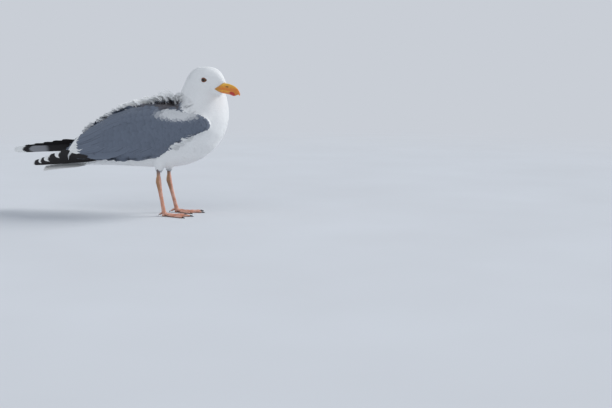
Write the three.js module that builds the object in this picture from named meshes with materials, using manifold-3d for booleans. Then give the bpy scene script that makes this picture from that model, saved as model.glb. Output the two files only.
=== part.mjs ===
// A herring gull standing on both feet, life size, as a still model in separate solids.
// Millimetres. +X is the way the trunk faces, +Y the bird's left, +Z up, z = 0 the ground under its soles.
import * as THREE from "three";
import { mergeVertices } from "three/addons/utils/BufferGeometryUtils.js";
import Module from "manifold-3d";

const wasm = await Module();
wasm.setup();

const GAP = 0.3; // left between touching solids
const RIGHT = -1;
const LEFT = 1;

// ---- driving sizes -----------------------------------------------------------------------------------

// The trunk and neck are one sweep along a bent spine. Each row: x, z, reach to the back, reach to the
// belly, half width, how far the neck has turned with the head, in degrees, and how far it lies to the left.
const BODY = [
  [-212, 100, 4, 4, 13, 0, 0],
  [-184, 106, 9, 9, 21, 0, 0],
  [-148, 116, 15, 19, 29, 0, 0],
  [-100, 135, 33, 41, 43, 0, 0],
  [-45, 155, 51, 62, 54, 0, 0],
  [10, 167, 55, 70, 60, 0, 0],
  [46, 177, 53.5, 68.5, 59.5, 0, 0],
  [69, 197, 50, 62.5, 56, 0, 0],
  [80, 222, 50, 53, 48, 0, 1.5],
  [84, 246, 59, 41, 38, 10, 4.5],
  [84, 268, 57, 28, 25, 22, 6],
  [86, 281, 45, 20, 19, 30, 5],
  [90, 290, 17, 12, 13, 32, 3],
];
const BODY_RINGS = 22;
const BODY_SIDES = 20;
const NECK_CUT = { at: [82, 0, 204], normal: [0.27, 0, 0.96] }; // trunk below, neck above
const HEAD_CUT = { at: [100, 0, 246], normal: [-0.15, 0, 0.99] }; // neck below, head above

// The head's own frame: a forward along the bill, b left, c up. It turns to the right and tips down.
const HEAD = { centre: [103.5, -6, 272], yaw: -32, pitch: -5 };
// Each row: a, crown, chin, half width.
const SKULL = [
  [-62, 7, -16, 12],
  [-54, 17, -25, 21],
  [-37, 26, -31, 27],
  [-13, 27.8, -30, 27],
  [3, 25, -28, 22.5],
  [15, 19.5, -26.5, 16.5],
  [25, 12, -24.5, 11.5],
  [32, 5.5, -21.5, 8.8],
  [37, 0, -19, 6.5],
];
const SKULL_RINGS = 12;
const SKULL_SIDES = 16;
const EYE = { a: -4, b: 19.4, c: 2, radius: 6.2 };

// The bill, in the head's frame. Each row: a, ridge above, edge below, half width.
const BILL_UPPER = [
  [18, -11.6, -13.4, 10.6],
  [27, -7.5, -13.4, 9.2],
  [34, -1.6, -13.2, 7.6],
  [42, -0.4, -13.2, 6.7],
  [56, -1.4, -13.6, 5.6],
  [68, -3.8, -14.2, 4.8],
  [77, -8.0, -15.0, 3.9],
  [83, -12.6, -17.2, 2.4],
  [85.5, -16.8, -19.2, 0.9],
];
const BILL_LOWER = [
  [18, -13.8, -15.8, 10.2],
  [27, -13.8, -19.0, 8.4],
  [40, -13.6, -20.8, 6.1],
  [56, -14.0, -21.4, 4.8],
  [67, -14.6, -22.4, 4.3],
  [74, -15.4, -20.8, 3.2],
  [80, -16.6, -18.8, 1.6],
];

const BILL_RINGS = 12;
const BILL_SIDES = 8;
const DOME = 0.85; // below 1 the sides of the bill bulge more than an oval's

// A folded wing lies on an oval round the trunk. Each row: x, oval centre z, half height, half width,
// the angles from straight down at which the wing starts and ends, and its thickness.
const WING = [
  [110, 188, 36, 42, 84, 100, 4],
  [103, 187, 42, 53, 74, 110, 12],
  [82, 184, 48, 64, 68, 128, 18],
  [48, 176, 55, 70, 61, 152, 18],
  [6, 167, 62.5, 70.5, 44, 165, 18],
  [-40, 161, 66, 68, 43, 169, 20],
  [-90, 152, 63, 63, 53, 172, 25],
  [-135, 142, 52, 55, 60, 174, 23],
  [-175, 132, 41, 45, 66, 176, 15],
  [-204, 124, 24, 36, 72, 170, 5],
  [-220, 119, 12, 30, 80, 140, 2.5],
];
const WING_RINGS = 14;
const WING_SPAN = 8;

// The primaries that show beyond a folded wing, longest first. Each row: the tip's x, y (of a left wing)
// and z, and the feather's width.
const PRIMARIES = {
  right: [
    [-298, 19, 99, 15],
    [-284, 20, 104, 18],
    [-268, 22, 109, 20],
    [-245, 25, 117, 22],
  ],
  left: [
    [-357, 8, 124, 14],
    [-334, 8, 128, 17],
    [-310, 9, 132, 20],
    [-281, 11, 136, 23],
  ],
};
const PRIMARY_ROOT = [-112, 44, 124]; // where the primaries of the left wing start, inside it
const PRIMARY = { thick: 2, layer: 1.3, steps: 5, turn: 0.25 };

// Each row: x, z of the middle, half width, thickness, droop of the sides.
const TAIL = [
  [-158, 113, 20, 11, 3],
  [-195, 107, 27, 8.5, 5],
  [-235, 99, 31, 5, 6],
  [-266, 93, 33, 3, 6.5],
  [-277, 91, 29, 1.6, 6.5],
];
const TAIL_RINGS = 6;
const TAIL_SPAN = 8;

// Wind has lifted the feathers along the ridge of the back into a crest of leaning tufts.
// Each row: the foot's x and z, the tip's x and z, the y of both, the length of the foot.
const CREST = [
  [42, 214, 30, 235, 0, 28],
  [20, 216, -7, 256, -4, 30],
  [-4, 218, -26, 249, 3, 32],
  [-28, 217, -53, 241, -3, 36],
  [-52, 213, -76, 233, 3, 36],
  [-74, 207, -95, 224, -1, 34],
];
const CREST_HALF_WIDTH = 16;

// The legs. Each point: x, y of a left leg, z. The feathered thigh runs from the hip to the skin, and the
// bare leg from the skin past the ankle to the joint of the toes. turn: how far the foot points inwards, in
// degrees.
const LEGS = {
  right: {
    side: RIGHT,
    hip: [-4, 27, 122],
    skin: [-9.5, 27, 90],
    ankle: [-9, 29, 68.5],
    joint: [4, 34, 7],
    turn: 8,
  },
  left: {
    side: LEFT,
    hip: [-6, 27, 122],
    skin: [-11, 27, 88],
    ankle: [-10.5, 28, 67],
    joint: [4, 32, 7],
    turn: -3,
  },
};
const THIGH = { top: 19, bottom: 5 };
const SHANK = { skin: 3.1, ankle: 4.6, middle: 3.05, end: 3.9, depth: 1.28 };
// Toes spread from the joint at the bottom of the shank. Angles are from the middle toe, positive outwards.
const TOES = [
  { name: "inner", angle: -29, length: 42, bones: 2, radius: 3.1 },
  { name: "middle", angle: 0, length: 54, bones: 3, radius: 3.3 },
  { name: "outer", angle: 29, length: 50, bones: 4, radius: 3.0 },
];
const HIND_TOE = { back: 4, up: 7, in: 1.5, length: 9, radius: 2.1, claw: 4, way: [-0.75, -0.3, -0.4] };
const CLAW = { length: 8, radius: 1.8 };
const WEB = { thickness: 1.3, reach: 0.9, notch: 0.72, steps: 5 };
const PAD = { radius: 4.6, height: 2.6 }; // the ball of the foot, cut flat on the ground

const COLOURS = {
  white: [0xf2f2ee, 0.85],
  grey: [0x7d8693, 0.8],
  black: [0x1b1b1d, 0.7],
  bill: [0xe8a21c, 0.4],
  eye: [0xd9cf8a, 0.1],
  leg: [0xcf9a86, 0.6],
  claw: [0x2a2422, 0.5],
};

// ---- general tools -----------------------------------------------------------------------------------

const FORWARD = new THREE.Vector3(1, 0, 0);
const UP = new THREE.Vector3(0, 0, 1);
const LEFTWARD = new THREE.Vector3(0, 1, 0);
const vector = (p) => new THREE.Vector3(...p);
const mirrored = ([x, y, z], side) => new THREE.Vector3(x, side * y, z);
const degrees = THREE.MathUtils.degToRad;
const arch = (share) => Math.max(0, Math.sin(Math.PI * share)); // 0 at both ends, 1 in the middle

/** A smooth function through rows of numbers, taken at a share from 0 to 1 of the way along the rows. */
function through(rows) {
  const width = rows[0].length;
  const knots = rows.map((_, i) => i / (rows.length - 1));
  const track = new THREE.CubicInterpolant(knots, rows.flat(), width, new Float64Array(width));
  return (share) => Array.from(track.evaluate(share));
}

/** A closed solid between two grids of points that face each other, walled in along their four edges. */
function shell(outer, inner) {
  const rows = outer.length;
  const columns = outer[0].length;
  const points = [...outer.flat(), ...inner.flat()];
  const faces = [];
  const quad = (a, b, c, d) => faces.push(a, b, c, a, c, d);
  const front = (i, j) => i * columns + j;
  const back = (i, j) => rows * columns + i * columns + j;
  for (let i = 0; i < rows - 1; i++) {
    for (let j = 0; j < columns - 1; j++) {
      quad(front(i, j), front(i + 1, j), front(i + 1, j + 1), front(i, j + 1));
      quad(back(i, j), back(i, j + 1), back(i + 1, j + 1), back(i + 1, j));
    }
    quad(front(i, 0), back(i, 0), back(i + 1, 0), front(i + 1, 0));
    const end = columns - 1;
    quad(front(i, end), front(i + 1, end), back(i + 1, end), back(i, end));
  }
  for (let j = 0; j < columns - 1; j++) {
    quad(front(0, j), front(0, j + 1), back(0, j + 1), back(0, j));
    const end = rows - 1;
    quad(front(end, j), back(end, j), back(end, j + 1), front(end, j + 1));
  }
  return meshOf(points, faces);
}

/** A closed solid over rings of points of equal length, with a fan over each end. */
function loft(rings) {
  const sides = rings[0].length;
  const sum = (ring) => ring.reduce((total, p) => total.add(p), new THREE.Vector3());
  const middle = (ring) => sum(ring).divideScalar(sides);
  const points = [...rings.flat(), middle(rings[0]), middle(rings[rings.length - 1])];
  const last = (rings.length - 1) * sides;
  const faces = [];
  for (let j = 0; j < sides; j++) {
    const next = (j + 1) % sides;
    for (let i = 0; i < rings.length - 1; i++) {
      const at = i * sides;
      faces.push(at + j, at + sides + j, at + sides + next, at + j, at + sides + next, at + next);
    }
    faces.push(points.length - 2, j, next, points.length - 1, last + next, last + j);
  }
  return meshOf(points, faces);
}

function meshOf(points, faces) {
  const geometry = new THREE.BufferGeometry();
  const places = points.flatMap((p) => p.toArray());
  geometry.setAttribute("position", new THREE.Float32BufferAttribute(places, 3));
  geometry.setIndex(faces);
  return solid(geometry);
}

/** A three.js geometry as a manifold solid with its faces outwards. */
function solid(geometry) {
  const bare = geometry.clone();
  bare.deleteAttribute("normal");
  bare.deleteAttribute("uv");
  const merged = mergeVertices(bare, 1e-4);
  const places = merged.attributes.position.array;
  const make = (faces) =>
    new wasm.Manifold(new wasm.Mesh({ numProp: 3, vertProperties: places, triVerts: faces }));
  const faces = new Uint32Array(merged.index.array);
  const made = make(faces);
  return made.volume() < 0 ? make(faces.slice().reverse()) : made;
}

const union = (solids) => solids.reduce((sum, s) => sum.add(s));

/** The two sides of a solid cut by a plane, a gap apart. The side that the normal points to comes first. */
function cutAcross(whole, { at, normal }) {
  const n = vector(normal).normalize();
  const offset = n.dot(vector(at));
  const above = whole.splitByPlane(n.toArray(), offset + GAP / 2)[0];
  const below = whole.splitByPlane(n.toArray(), offset - GAP / 2)[1];
  return [above, below];
}

/** A round bar through centres with a radius at each, drawn out along one direction by a factor. */
function bar(centres, radii, { sides, stretch = FORWARD, factor = 1, grow = 0 }) {
  const path = new THREE.CatmullRomCurve3(centres, false, "centripetal");
  const last = centres.length - 1;
  const rings = centres.map((middle, i) => {
    const along = path.getTangent(i / last);
    const centre = middle.clone().addScaledVector(along, i === 0 ? -grow : i === last ? grow : 0);
    const across = new THREE.Vector3().crossVectors(along, stretch).normalize();
    const deep = new THREE.Vector3().crossVectors(across, along).normalize();
    return Array.from({ length: sides }, (_, j) => {
      const turn = (2 * Math.PI * j) / sides;
      return centre
        .clone()
        .addScaledVector(across, (radii[i] + grow) * Math.cos(turn))
        .addScaledVector(deep, (radii[i] * factor + grow) * Math.sin(turn));
    });
  });
  return loft(rings);
}

/** The largest connected body of a solid, so that a cut leaves no crumbs. */
function largest(whole) {
  return whole.decompose().sort((a, b) => b.volume() - a.volume())[0];
}

// ---- trunk, neck and head ----------------------------------------------------------------------------

/** The trunk and neck as one sweep, grown outwards all round by an amount. */
function bodySweep(grow = 0) {
  const row = through(BODY);
  const centre = (share) => {
    const [x, z, , , , , left] = row(share);
    return new THREE.Vector3(x, left, z);
  };
  const rings = [];
  for (let i = 0; i <= BODY_RINGS; i++) {
    const share = i / BODY_RINGS;
    const [, , back, belly, half, twist] = row(share);
    const ahead = centre(Math.min(1, share + 0.01));
    const along = ahead.sub(centre(Math.max(0, share - 0.01))).normalize();
    const up = new THREE.Vector3(-along.z, 0, along.x);
    const end = i === 0 ? -grow : i === BODY_RINGS ? grow : 0;
    rings.push(
      Array.from({ length: BODY_SIDES }, (_, j) => {
        const turn = (2 * Math.PI * j) / BODY_SIDES;
        const reach = Math.cos(turn) > 0 ? back : belly;
        return new THREE.Vector3()
          .addScaledVector(up, (reach + grow) * Math.cos(turn))
          .addScaledVector(LEFTWARD, (half + grow) * Math.sin(turn))
          .applyAxisAngle(along, degrees(-twist))
          .addScaledVector(along, end)
          .add(centre(share));
      }),
    );
  }
  return loft(rings);
}

const headTurn = new THREE.Matrix4()
  .makeTranslation(...HEAD.centre)
  .multiply(new THREE.Matrix4().makeRotationZ(degrees(HEAD.yaw)))
  .multiply(new THREE.Matrix4().makeRotationY(degrees(-HEAD.pitch)));

const inHead = (a, b, c) => new THREE.Vector3(a, b, c).applyMatrix4(headTurn);

function skull() {
  const row = through(SKULL);
  const rings = Array.from({ length: SKULL_RINGS + 1 }, (_, i) => {
    const [a, crown, chin, half] = row(i / SKULL_RINGS);
    const middle = (crown + chin) / 2;
    return Array.from({ length: SKULL_SIDES }, (_, j) => {
      const turn = (2 * Math.PI * j) / SKULL_SIDES;
      return inHead(a, half * Math.sin(turn), middle + ((crown - chin) / 2) * Math.cos(turn));
    });
  });
  return loft(rings);
}

/** One half of the bill: a domed side and a flat side that meets the other half. */
function mandible(rows, domeUp, grow = 0) {
  const row = through(rows);
  const rings = Array.from({ length: BILL_RINGS + 1 }, (_, i) => {
    const [a, top, bottom, half] = row(i / BILL_RINGS);
    const flat = domeUp ? bottom - grow : top + grow;
    const dome = domeUp ? top + grow : bottom - grow;
    const end = i === 0 ? -grow : i === BILL_RINGS ? grow : 0;
    return Array.from({ length: BILL_SIDES }, (_, j) => {
      const turn = (Math.PI * (j + 0.5)) / BILL_SIDES;
      const height = flat + (dome - flat) * Math.sin(turn) ** DOME;
      return inHead(a + end, (half + grow) * Math.cos(turn), height);
    });
  });
  return loft(rings);
}

function eyeball(side, grow = 0) {
  const ball = new THREE.SphereGeometry(EYE.radius + grow, 12, 7);
  ball.translate(...inHead(EYE.a, side * EYE.b, EYE.c).toArray());
  return solid(ball);
}

// ---- wings, tail and lifted feathers -----------------------------------------------------------------

function foldedWing(side, grow = 0) {
  const row = through(WING);
  const outer = [];
  const inner = [];
  for (let i = 0; i <= WING_RINGS; i++) {
    const [x, z, high, wide, from, to, thick] = row(i / WING_RINGS);
    const end = i === 0 ? grow : i === WING_RINGS ? -grow : 0;
    const edge = THREE.MathUtils.radToDeg(grow / Math.min(high, wide));
    const line = (depthAt) =>
      Array.from({ length: WING_SPAN + 1 }, (_, j) => {
        const share = j / WING_SPAN;
        const turn = degrees(from - edge + (to - from + 2 * edge) * share);
        const across = side * (wide - depthAt(share)) * Math.sin(turn);
        return new THREE.Vector3(x + end, across, z - (high - depthAt(share)) * Math.cos(turn));
      });
    outer.push(line(() => -grow));
    inner.push(line((share) => thick * (0.2 + 0.8 * arch(share) ** 0.6) + grow));
  }
  return shell(outer, inner);
}

/** One long feather as a thin blade on edge, from its root to a rounded tip, in its layer of the wing. */
function primary([x, y, z, width], side, layer) {
  const start = mirrored(PRIMARY_ROOT, side);
  const tip = mirrored([x, y, z], side);
  const along = tip.clone().sub(start);
  const out = new THREE.Vector3(0, side * Math.cos(PRIMARY.turn), Math.sin(PRIMARY.turn));
  const across = new THREE.Vector3().crossVectors(along, out).normalize();
  out.crossVectors(across, along).normalize();
  const flip = out.y * side < 0 ? -1 : 1;
  start.addScaledVector(out, flip * layer);
  tip.addScaledVector(out, flip * layer);
  const face = (sign) =>
    Array.from({ length: PRIMARY.steps + 1 }, (_, i) => {
      const share = 1 - (1 - i / PRIMARY.steps) ** 1.6;
      const half = 0.5 * width * Math.sqrt(1.03 - share ** 9);
      return [-1, 1].map((edge) =>
        start
          .clone()
          .addScaledVector(along, share)
          .addScaledVector(across, edge * half)
          .addScaledVector(out, sign * 0.5 * PRIMARY.thick),
      );
    });
  return shell(face(1), face(-1));
}

function primaries(feathers, side) {
  return union(feathers.map((feather, i) => primary(feather, side, PRIMARY.layer * i)));
}

function tailFan(grow = 0) {
  const row = through(TAIL);
  const top = [];
  const under = [];
  for (let i = 0; i <= TAIL_RINGS; i++) {
    const [x, z, half, thick, droop] = row(i / TAIL_RINGS);
    const line = (sign) =>
      Array.from({ length: TAIL_SPAN + 1 }, (_, j) => {
        const share = (2 * j) / TAIL_SPAN - 1;
        const body = 0.3 + 0.7 * Math.sqrt(1 - share * share);
        return new THREE.Vector3(
          x + (i === TAIL_RINGS ? 6 * share * share : 0),
          share * (half + grow),
          z - droop * share * share + sign * (thick * 0.5 * body + grow),
        );
      });
    top.push(line(1));
    under.push(line(-1));
  }
  return shell(top, under);
}

/** The tufts of the crest as one solid: each is a flat horn that narrows and curls over to its tip. */
function crest() {
  const tufts = CREST.map(([footX, footZ, tipX, tipZ, y, length]) => {
    const foot = new THREE.Vector3(footX, y, footZ);
    const tip = new THREE.Vector3(tipX, y, tipZ);
    const up = new THREE.Vector3(footX, y, tipZ);
    const arc = new THREE.QuadraticBezierCurve3(foot, up.lerp(foot, 0.3), tip);
    const rings = arc.getPoints(5).map((centre, i) => {
      const share = i / 5;
      const size = (1 - share) ** 0.7 + 0.05;
      const along = arc.getTangent(share);
      const level = new THREE.Vector3(along.z, 0, -along.x);
      return Array.from({ length: 6 }, (_, j) => {
        const turn = (2 * Math.PI * j) / 6;
        return centre
          .clone()
          .addScaledVector(level, 0.5 * length * size * Math.cos(turn))
          .add(new THREE.Vector3(0, CREST_HALF_WIDTH * size * Math.sin(turn), 0));
      });
    });
    return loft(rings);
  });
  return union(tufts);
}

// ---- legs and feet -----------------------------------------------------------------------------------

function thigh({ side, hip, skin }, grow = 0) {
  const top = mirrored(hip, side);
  const bottom = mirrored(skin, side);
  const centres = [-0.2, 0.25, 0.7, 1].map((share) => top.clone().lerp(bottom, share));
  const radii = [THIGH.top, THIGH.top * 0.9, THIGH.bottom * 1.9, THIGH.bottom];
  return bar(centres, radii, { sides: 12, factor: 1.15, grow });
}

/** The bare leg, from inside the thigh past the ankle and down to the joint of the toes. */
function shank({ side, skin, ankle, joint }, grow = 0) {
  const top = mirrored(skin, side);
  const heel = mirrored(ankle, side);
  const low = mirrored(joint, side);
  const above = (height) => heel.clone().add(new THREE.Vector3(0, 0, height));
  const down = (share) => heel.clone().lerp(low, share);
  const thighPart = [above(top.z - heel.z + 8), above(13), above(6)];
  const centres = [...thighPart, heel, ...[0.14, 0.3, 0.65, 0.9].map(down), low];
  const radii = [
    SHANK.skin,
    SHANK.skin,
    SHANK.ankle * 0.92,
    SHANK.ankle,
    SHANK.ankle * 0.86,
    SHANK.middle * 1.12,
    SHANK.middle,
    SHANK.middle * 1.1,
    SHANK.end,
  ];
  centres[0].x = top.x;
  return bar(centres, radii, { sides: 10, factor: SHANK.depth, grow });
}

/** The heading of a toe that stands at an angle from the middle toe, as a unit vector along the ground. */
function heading(angle, { side, turn }) {
  const way = degrees(side * (angle - turn));
  return new THREE.Vector3(Math.cos(way), Math.sin(way), 0);
}

/** The middle line of a toe: down from the joint, then flat along the ground. */
function toeLine(toe, leg) {
  const start = mirrored(leg.joint, leg.side);
  const count = toe.bones * 2 + 2;
  return Array.from({ length: count }, (_, i) => {
    const share = i / (count - 1);
    const drop = Math.min(1, share * 2.2) ** 0.7;
    const height = THREE.MathUtils.lerp(start.z - 1, toe.radius * 0.62, drop);
    return start.clone().addScaledVector(heading(toe.angle, leg), toe.length * share).setZ(height);
  });
}

function toeBar(toe, leg, grow = 0) {
  const line = toeLine(toe, leg);
  const radii = line.map((_, i) => {
    const share = i / (line.length - 1);
    const knuckle = 0.12 * Math.cos(2 * Math.PI * share * (toe.bones + 0.5));
    return toe.radius * (1.1 - 0.4 * share + knuckle);
  });
  return bar(line, radii, { sides: 6, stretch: UP, grow });
}

/** The skin between two toes, thin and flat on the ground, with a hollow front edge. */
function web(first, second, leg) {
  const edgeOf = (toe) => heading(toe.angle, leg).multiplyScalar(toe.length * WEB.reach);
  const a = edgeOf(first);
  const b = edgeOf(second);
  const outline = [new THREE.Vector2(0, 0)];
  for (let i = 0; i <= WEB.steps; i++) {
    const share = i / WEB.steps;
    const edge = a.clone().lerp(b, share).multiplyScalar(1 - (1 - WEB.notch) * arch(share));
    outline.push(new THREE.Vector2(edge.x, edge.y));
  }
  if (leg.side === RIGHT) outline.reverse();
  const flat = new THREE.Shape(outline);
  const plate = new THREE.ExtrudeGeometry(flat, { depth: WEB.thickness, bevelEnabled: false });
  plate.translate(leg.joint[0], leg.side * leg.joint[1], 0);
  return solid(plate);
}

/** The line of the short hind toe, from the back of the shank down towards the ground. */
function hindLine(leg) {
  const start = mirrored(leg.joint, leg.side).add(
    new THREE.Vector3(-HIND_TOE.back, -leg.side * HIND_TOE.in, HIND_TOE.up - leg.joint[2]),
  );
  const way = mirrored(HIND_TOE.way, leg.side).normalize();
  const reach = (share) => start.clone().addScaledVector(way, share * HIND_TOE.length);
  return [-0.5, 0.3, 0.75, 1].map(reach);
}

function hindToe(leg, grow = 0) {
  const radii = [1.05, 1, 0.9, 0.65].map((share) => share * HIND_TOE.radius);
  return bar(hindLine(leg), radii, { sides: 6, grow });
}

/** Toes, webs and hind toe as one piece that is cut flat along the ground. */
function foot(leg) {
  const pad = new THREE.SphereGeometry(PAD.radius, 10, 6);
  pad.translate(leg.joint[0], leg.side * leg.joint[1], PAD.height);
  const ground = new THREE.BoxGeometry(400, 400, 40); // far wider than a foot
  ground.translate(0, 0, -20);
  const pieces = TOES.map((toe) => toeBar(toe, leg));
  pieces.push(web(TOES[0], TOES[1], leg), web(TOES[1], TOES[2], leg), hindToe(leg), solid(pad));
  return union(pieces).subtract(shank(leg, GAP)).subtract(solid(ground));
}

/** A claw that arches forward from the end of a toe to a point close to the ground. */
function claw(tip, way, length, radius) {
  const centres = [-0.3, 0.05, 0.4, 0.75, 1].map((share) => {
    const out = Math.max(0, share);
    const rise = 0.5 * arch(out) - (tip.z - 0.5) * out;
    return tip.clone().addScaledVector(way, length * share).addScaledVector(UP, rise);
  });
  const radii = [1, 1, 0.82, 0.5, 0.16].map((share) => share * radius);
  return bar(centres, radii, { sides: 4, stretch: UP });
}

// ---- assembly ----------------------------------------------------------------------------------------

const gull = new THREE.Group();

function add(name, piece, [colour, roughness]) {
  const { numProp, numVert, vertProperties, triVerts } = largest(piece).getMesh();
  const points = new Float32Array(numVert * 3);
  for (let i = 0; i < numVert; i++) {
    points.set(vertProperties.subarray(i * numProp, i * numProp + 3), i * 3);
  }
  const geometry = new THREE.BufferGeometry();
  geometry.setAttribute("position", new THREE.BufferAttribute(points, 3));
  geometry.setIndex(new THREE.BufferAttribute(triVerts, 1));
  geometry.computeVertexNormals();
  const mesh = new THREE.Mesh(geometry, new THREE.MeshStandardMaterial({ color: colour, roughness }));
  mesh.name = name;
  gull.add(mesh);
}

const sides = Object.keys(LEGS);
const legs = Object.values(LEGS);
const bodyRoom = bodySweep(GAP);

// The head is hollowed for the bill and the eyes, and the trunk for the thighs.
const sockets = union([
  mandible(BILL_UPPER, true, GAP),
  mandible(BILL_LOWER, false, GAP),
  eyeball(RIGHT, GAP),
  eyeball(LEFT, GAP),
]);
const [upperPart, trunkPart] = cutAcross(bodySweep(), NECK_CUT);
const [headPart, neckPart] = cutAcross(upperPart.add(skull()).subtract(sockets), HEAD_CUT);
add("head", headPart, COLOURS.white);
add("bill_upper", mandible(BILL_UPPER, true), COLOURS.bill);
add("bill_lower", mandible(BILL_LOWER, false).subtract(mandible(BILL_UPPER, true, GAP)), COLOURS.bill);
add("neck", neckPart, COLOURS.white);
const thighRoom = union(legs.map((leg) => thigh(leg, GAP)));
add("trunk", trunkPart.subtract(thighRoom), COLOURS.white);
add("tail", tailFan().subtract(bodyRoom), COLOURS.white);

const flesh = union([bodyRoom, tailFan(GAP), thighRoom]);
const wings = sides.map((name) => foldedWing(LEGS[name].side).subtract(flesh));
const wingRooms = sides.map((name) => foldedWing(LEGS[name].side, GAP));
add("crest", crest().subtract(bodyRoom).subtract(union(wingRooms)), COLOURS.white);

sides.forEach((name, i) => {
  const leg = LEGS[name];
  add(`eye_${name}`, eyeball(leg.side), COLOURS.eye);
  add(`wing_${name}`, wings[i], COLOURS.grey);
  const tips = primaries(PRIMARIES[name], leg.side).subtract(flesh).subtract(wingRooms[i]);
  add(`primaries_${name}`, tips, COLOURS.black);
  add(`thigh_${name}`, thigh(leg).subtract(shank(leg, GAP)), COLOURS.white);
  add(`shank_${name}`, shank(leg), COLOURS.leg);
  add(`foot_${name}`, foot(leg), COLOURS.leg);
  for (const toe of TOES) {
    const tip = toeLine(toe, leg).pop();
    const nail = claw(tip, heading(toe.angle, leg), CLAW.length, CLAW.radius);
    add(`claw_${toe.name}_${name}`, nail.subtract(toeBar(toe, leg, GAP)), COLOURS.claw);
  }
  const hind = hindLine(leg);
  const way = hind[3].clone().sub(hind[2]).setZ(0).normalize();
  const nail = claw(hind[3], way, HIND_TOE.claw, 0.55 * HIND_TOE.radius);
  add(`claw_hind_${name}`, nail.subtract(hindToe(leg, GAP)), COLOURS.claw);
});

// The origin is the middle of the bounding box, on the ground.
const bounds = new THREE.Box3().setFromObject(gull);
const middle = bounds.getCenter(new THREE.Vector3());
gull.position.set(-middle.x, -middle.y, -bounds.min.z);

export default gull;
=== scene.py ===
"""A life-size herring gull: skin, plumage, eyes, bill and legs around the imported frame, in a plain studio."""

import logging
import math
from collections.abc import Callable
from dataclasses import dataclass, field, fields, replace
from enum import Enum

import bpy
import numpy as np
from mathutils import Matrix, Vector
from mathutils.bvhtree import BVHTree
from mathutils.kdtree import KDTree


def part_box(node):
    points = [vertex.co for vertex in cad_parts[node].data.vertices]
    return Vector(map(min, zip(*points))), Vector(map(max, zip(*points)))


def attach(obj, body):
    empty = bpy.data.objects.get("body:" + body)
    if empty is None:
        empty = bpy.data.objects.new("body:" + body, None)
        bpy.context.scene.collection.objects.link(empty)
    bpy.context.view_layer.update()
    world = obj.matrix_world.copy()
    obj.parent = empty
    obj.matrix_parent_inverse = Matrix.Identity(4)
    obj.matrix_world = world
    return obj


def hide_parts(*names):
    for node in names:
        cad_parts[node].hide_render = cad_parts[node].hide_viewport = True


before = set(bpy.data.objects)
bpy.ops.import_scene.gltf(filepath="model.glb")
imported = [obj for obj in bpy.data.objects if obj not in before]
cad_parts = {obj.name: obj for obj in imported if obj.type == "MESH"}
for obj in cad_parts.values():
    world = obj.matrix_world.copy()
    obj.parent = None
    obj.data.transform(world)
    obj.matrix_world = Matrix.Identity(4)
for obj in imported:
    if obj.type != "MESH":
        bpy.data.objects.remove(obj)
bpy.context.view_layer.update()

log = logging.getLogger("gull")
MM = 0.001  # sizes and places below are in millimetres, and meshes are in metres
SIDES = {"right": -1, "left": 1}
UP = np.array([0.0, 0.0, 1.0])
SAME_PLACE = 0.01  # vertices of a CAD node closer than this are one
CREASE = 60  # small feathers are shaded smooth over edges up to this many degrees


# ---- vectors and profiles -------------------------------------------------------------------------------


def unit(v: np.ndarray) -> np.ndarray:
    """The vectors scaled to length 1."""
    return v / np.maximum(np.linalg.norm(v, axis=-1, keepdims=True), 1e-9)


def ramp(x: np.ndarray, low: float, high: float) -> np.ndarray:
    """0 below low, 1 above high, and a smooth rise between. It falls where low is above high."""
    t = np.clip((x - low) / (high - low), 0, 1)
    return t * t * (3 - 2 * t)


def bump(x: np.ndarray, middle: float, width: float) -> np.ndarray:
    """A round hill of height 1 at the middle, nearly 0 beyond twice the width."""
    return np.exp(-(((x - middle) / width) ** 2))


def through(rows: list, share: np.ndarray) -> np.ndarray:
    """Rows of numbers read smoothly at shares from 0 to 1 of the way along them.

    Args:
        rows: Equally spaced rows, each with the same count of numbers.
        share: Where to read.

    Returns:
        One row for each share.
    """
    table = np.asarray(rows, float)
    last = len(table) - 1
    at = np.clip(np.asarray(share, float), 0, 1) * last
    low = np.clip(at.astype(int), 0, last - 1)
    t = (at - low)[..., None]
    before, start, end, after = (table[np.clip(low + k, 0, last)] for k in (-1, 0, 1, 2))
    leave, arrive = (end - before) / 2, (after - start) / 2
    from_start = (2 * t**3 - 3 * t**2 + 1) * start + (t**3 - 2 * t**2 + t) * leave
    return from_start + (3 * t**2 - 2 * t**3) * end + (t**3 - t**2) * arrive


def node_box(name: str) -> tuple[np.ndarray, np.ndarray]:
    """The lowest and highest corner of a CAD node, in millimetres."""
    low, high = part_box(name)
    return np.array(low) / MM, np.array(high) / MM


def within(name: str, share: tuple) -> np.ndarray:
    """The point at these shares of a CAD node's box along x, y and z."""
    low, high = node_box(name)
    return low + (high - low) * np.array(share)


@dataclass(frozen=True)
class HeadFrame:
    """The head's own frame, found from its two eyes: a along the bill, b to the left, c up."""

    pitch: float = -5.0  # the bill tips down by this many degrees
    eye_a: float = -4.0
    eye_c: float = 2.0

    def axes(self) -> np.ndarray:
        """Rows a, b and c as unit vectors.

        Returns:
            The rows, which turn points of the model into the frame.
        """
        right, left = (sum(node_box(f"eye_{side}")) / 2 for side in SIDES)
        b = unit((left - right) * (1, 1, 0))
        level = np.cross(b, UP)
        tip = math.radians(self.pitch)
        a = level * math.cos(tip) + UP * math.sin(tip)
        return np.array([a, b, np.cross(a, b)])

    def origin(self) -> np.ndarray:
        """The middle of the head."""
        middle = sum(sum(node_box(f"eye_{side}")) / 4 for side in SIDES)
        return middle - np.array([self.eye_a, 0, self.eye_c]) @ self.axes()

    def out(self, points: np.ndarray) -> np.ndarray:
        """Points in the head's frame as points of the model."""
        return np.asarray(points, float) @ self.axes() + self.origin()

    def into(self, points: np.ndarray) -> np.ndarray:
        """Points of the model in the head's frame."""
        return (np.asarray(points, float) - self.origin()) @ self.axes().T


HEAD = HeadFrame()


# ---- meshes ---------------------------------------------------------------------------------------------


def select_none() -> None:
    """Clears the selection."""
    bpy.ops.object.select_all(action="DESELECT")


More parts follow.
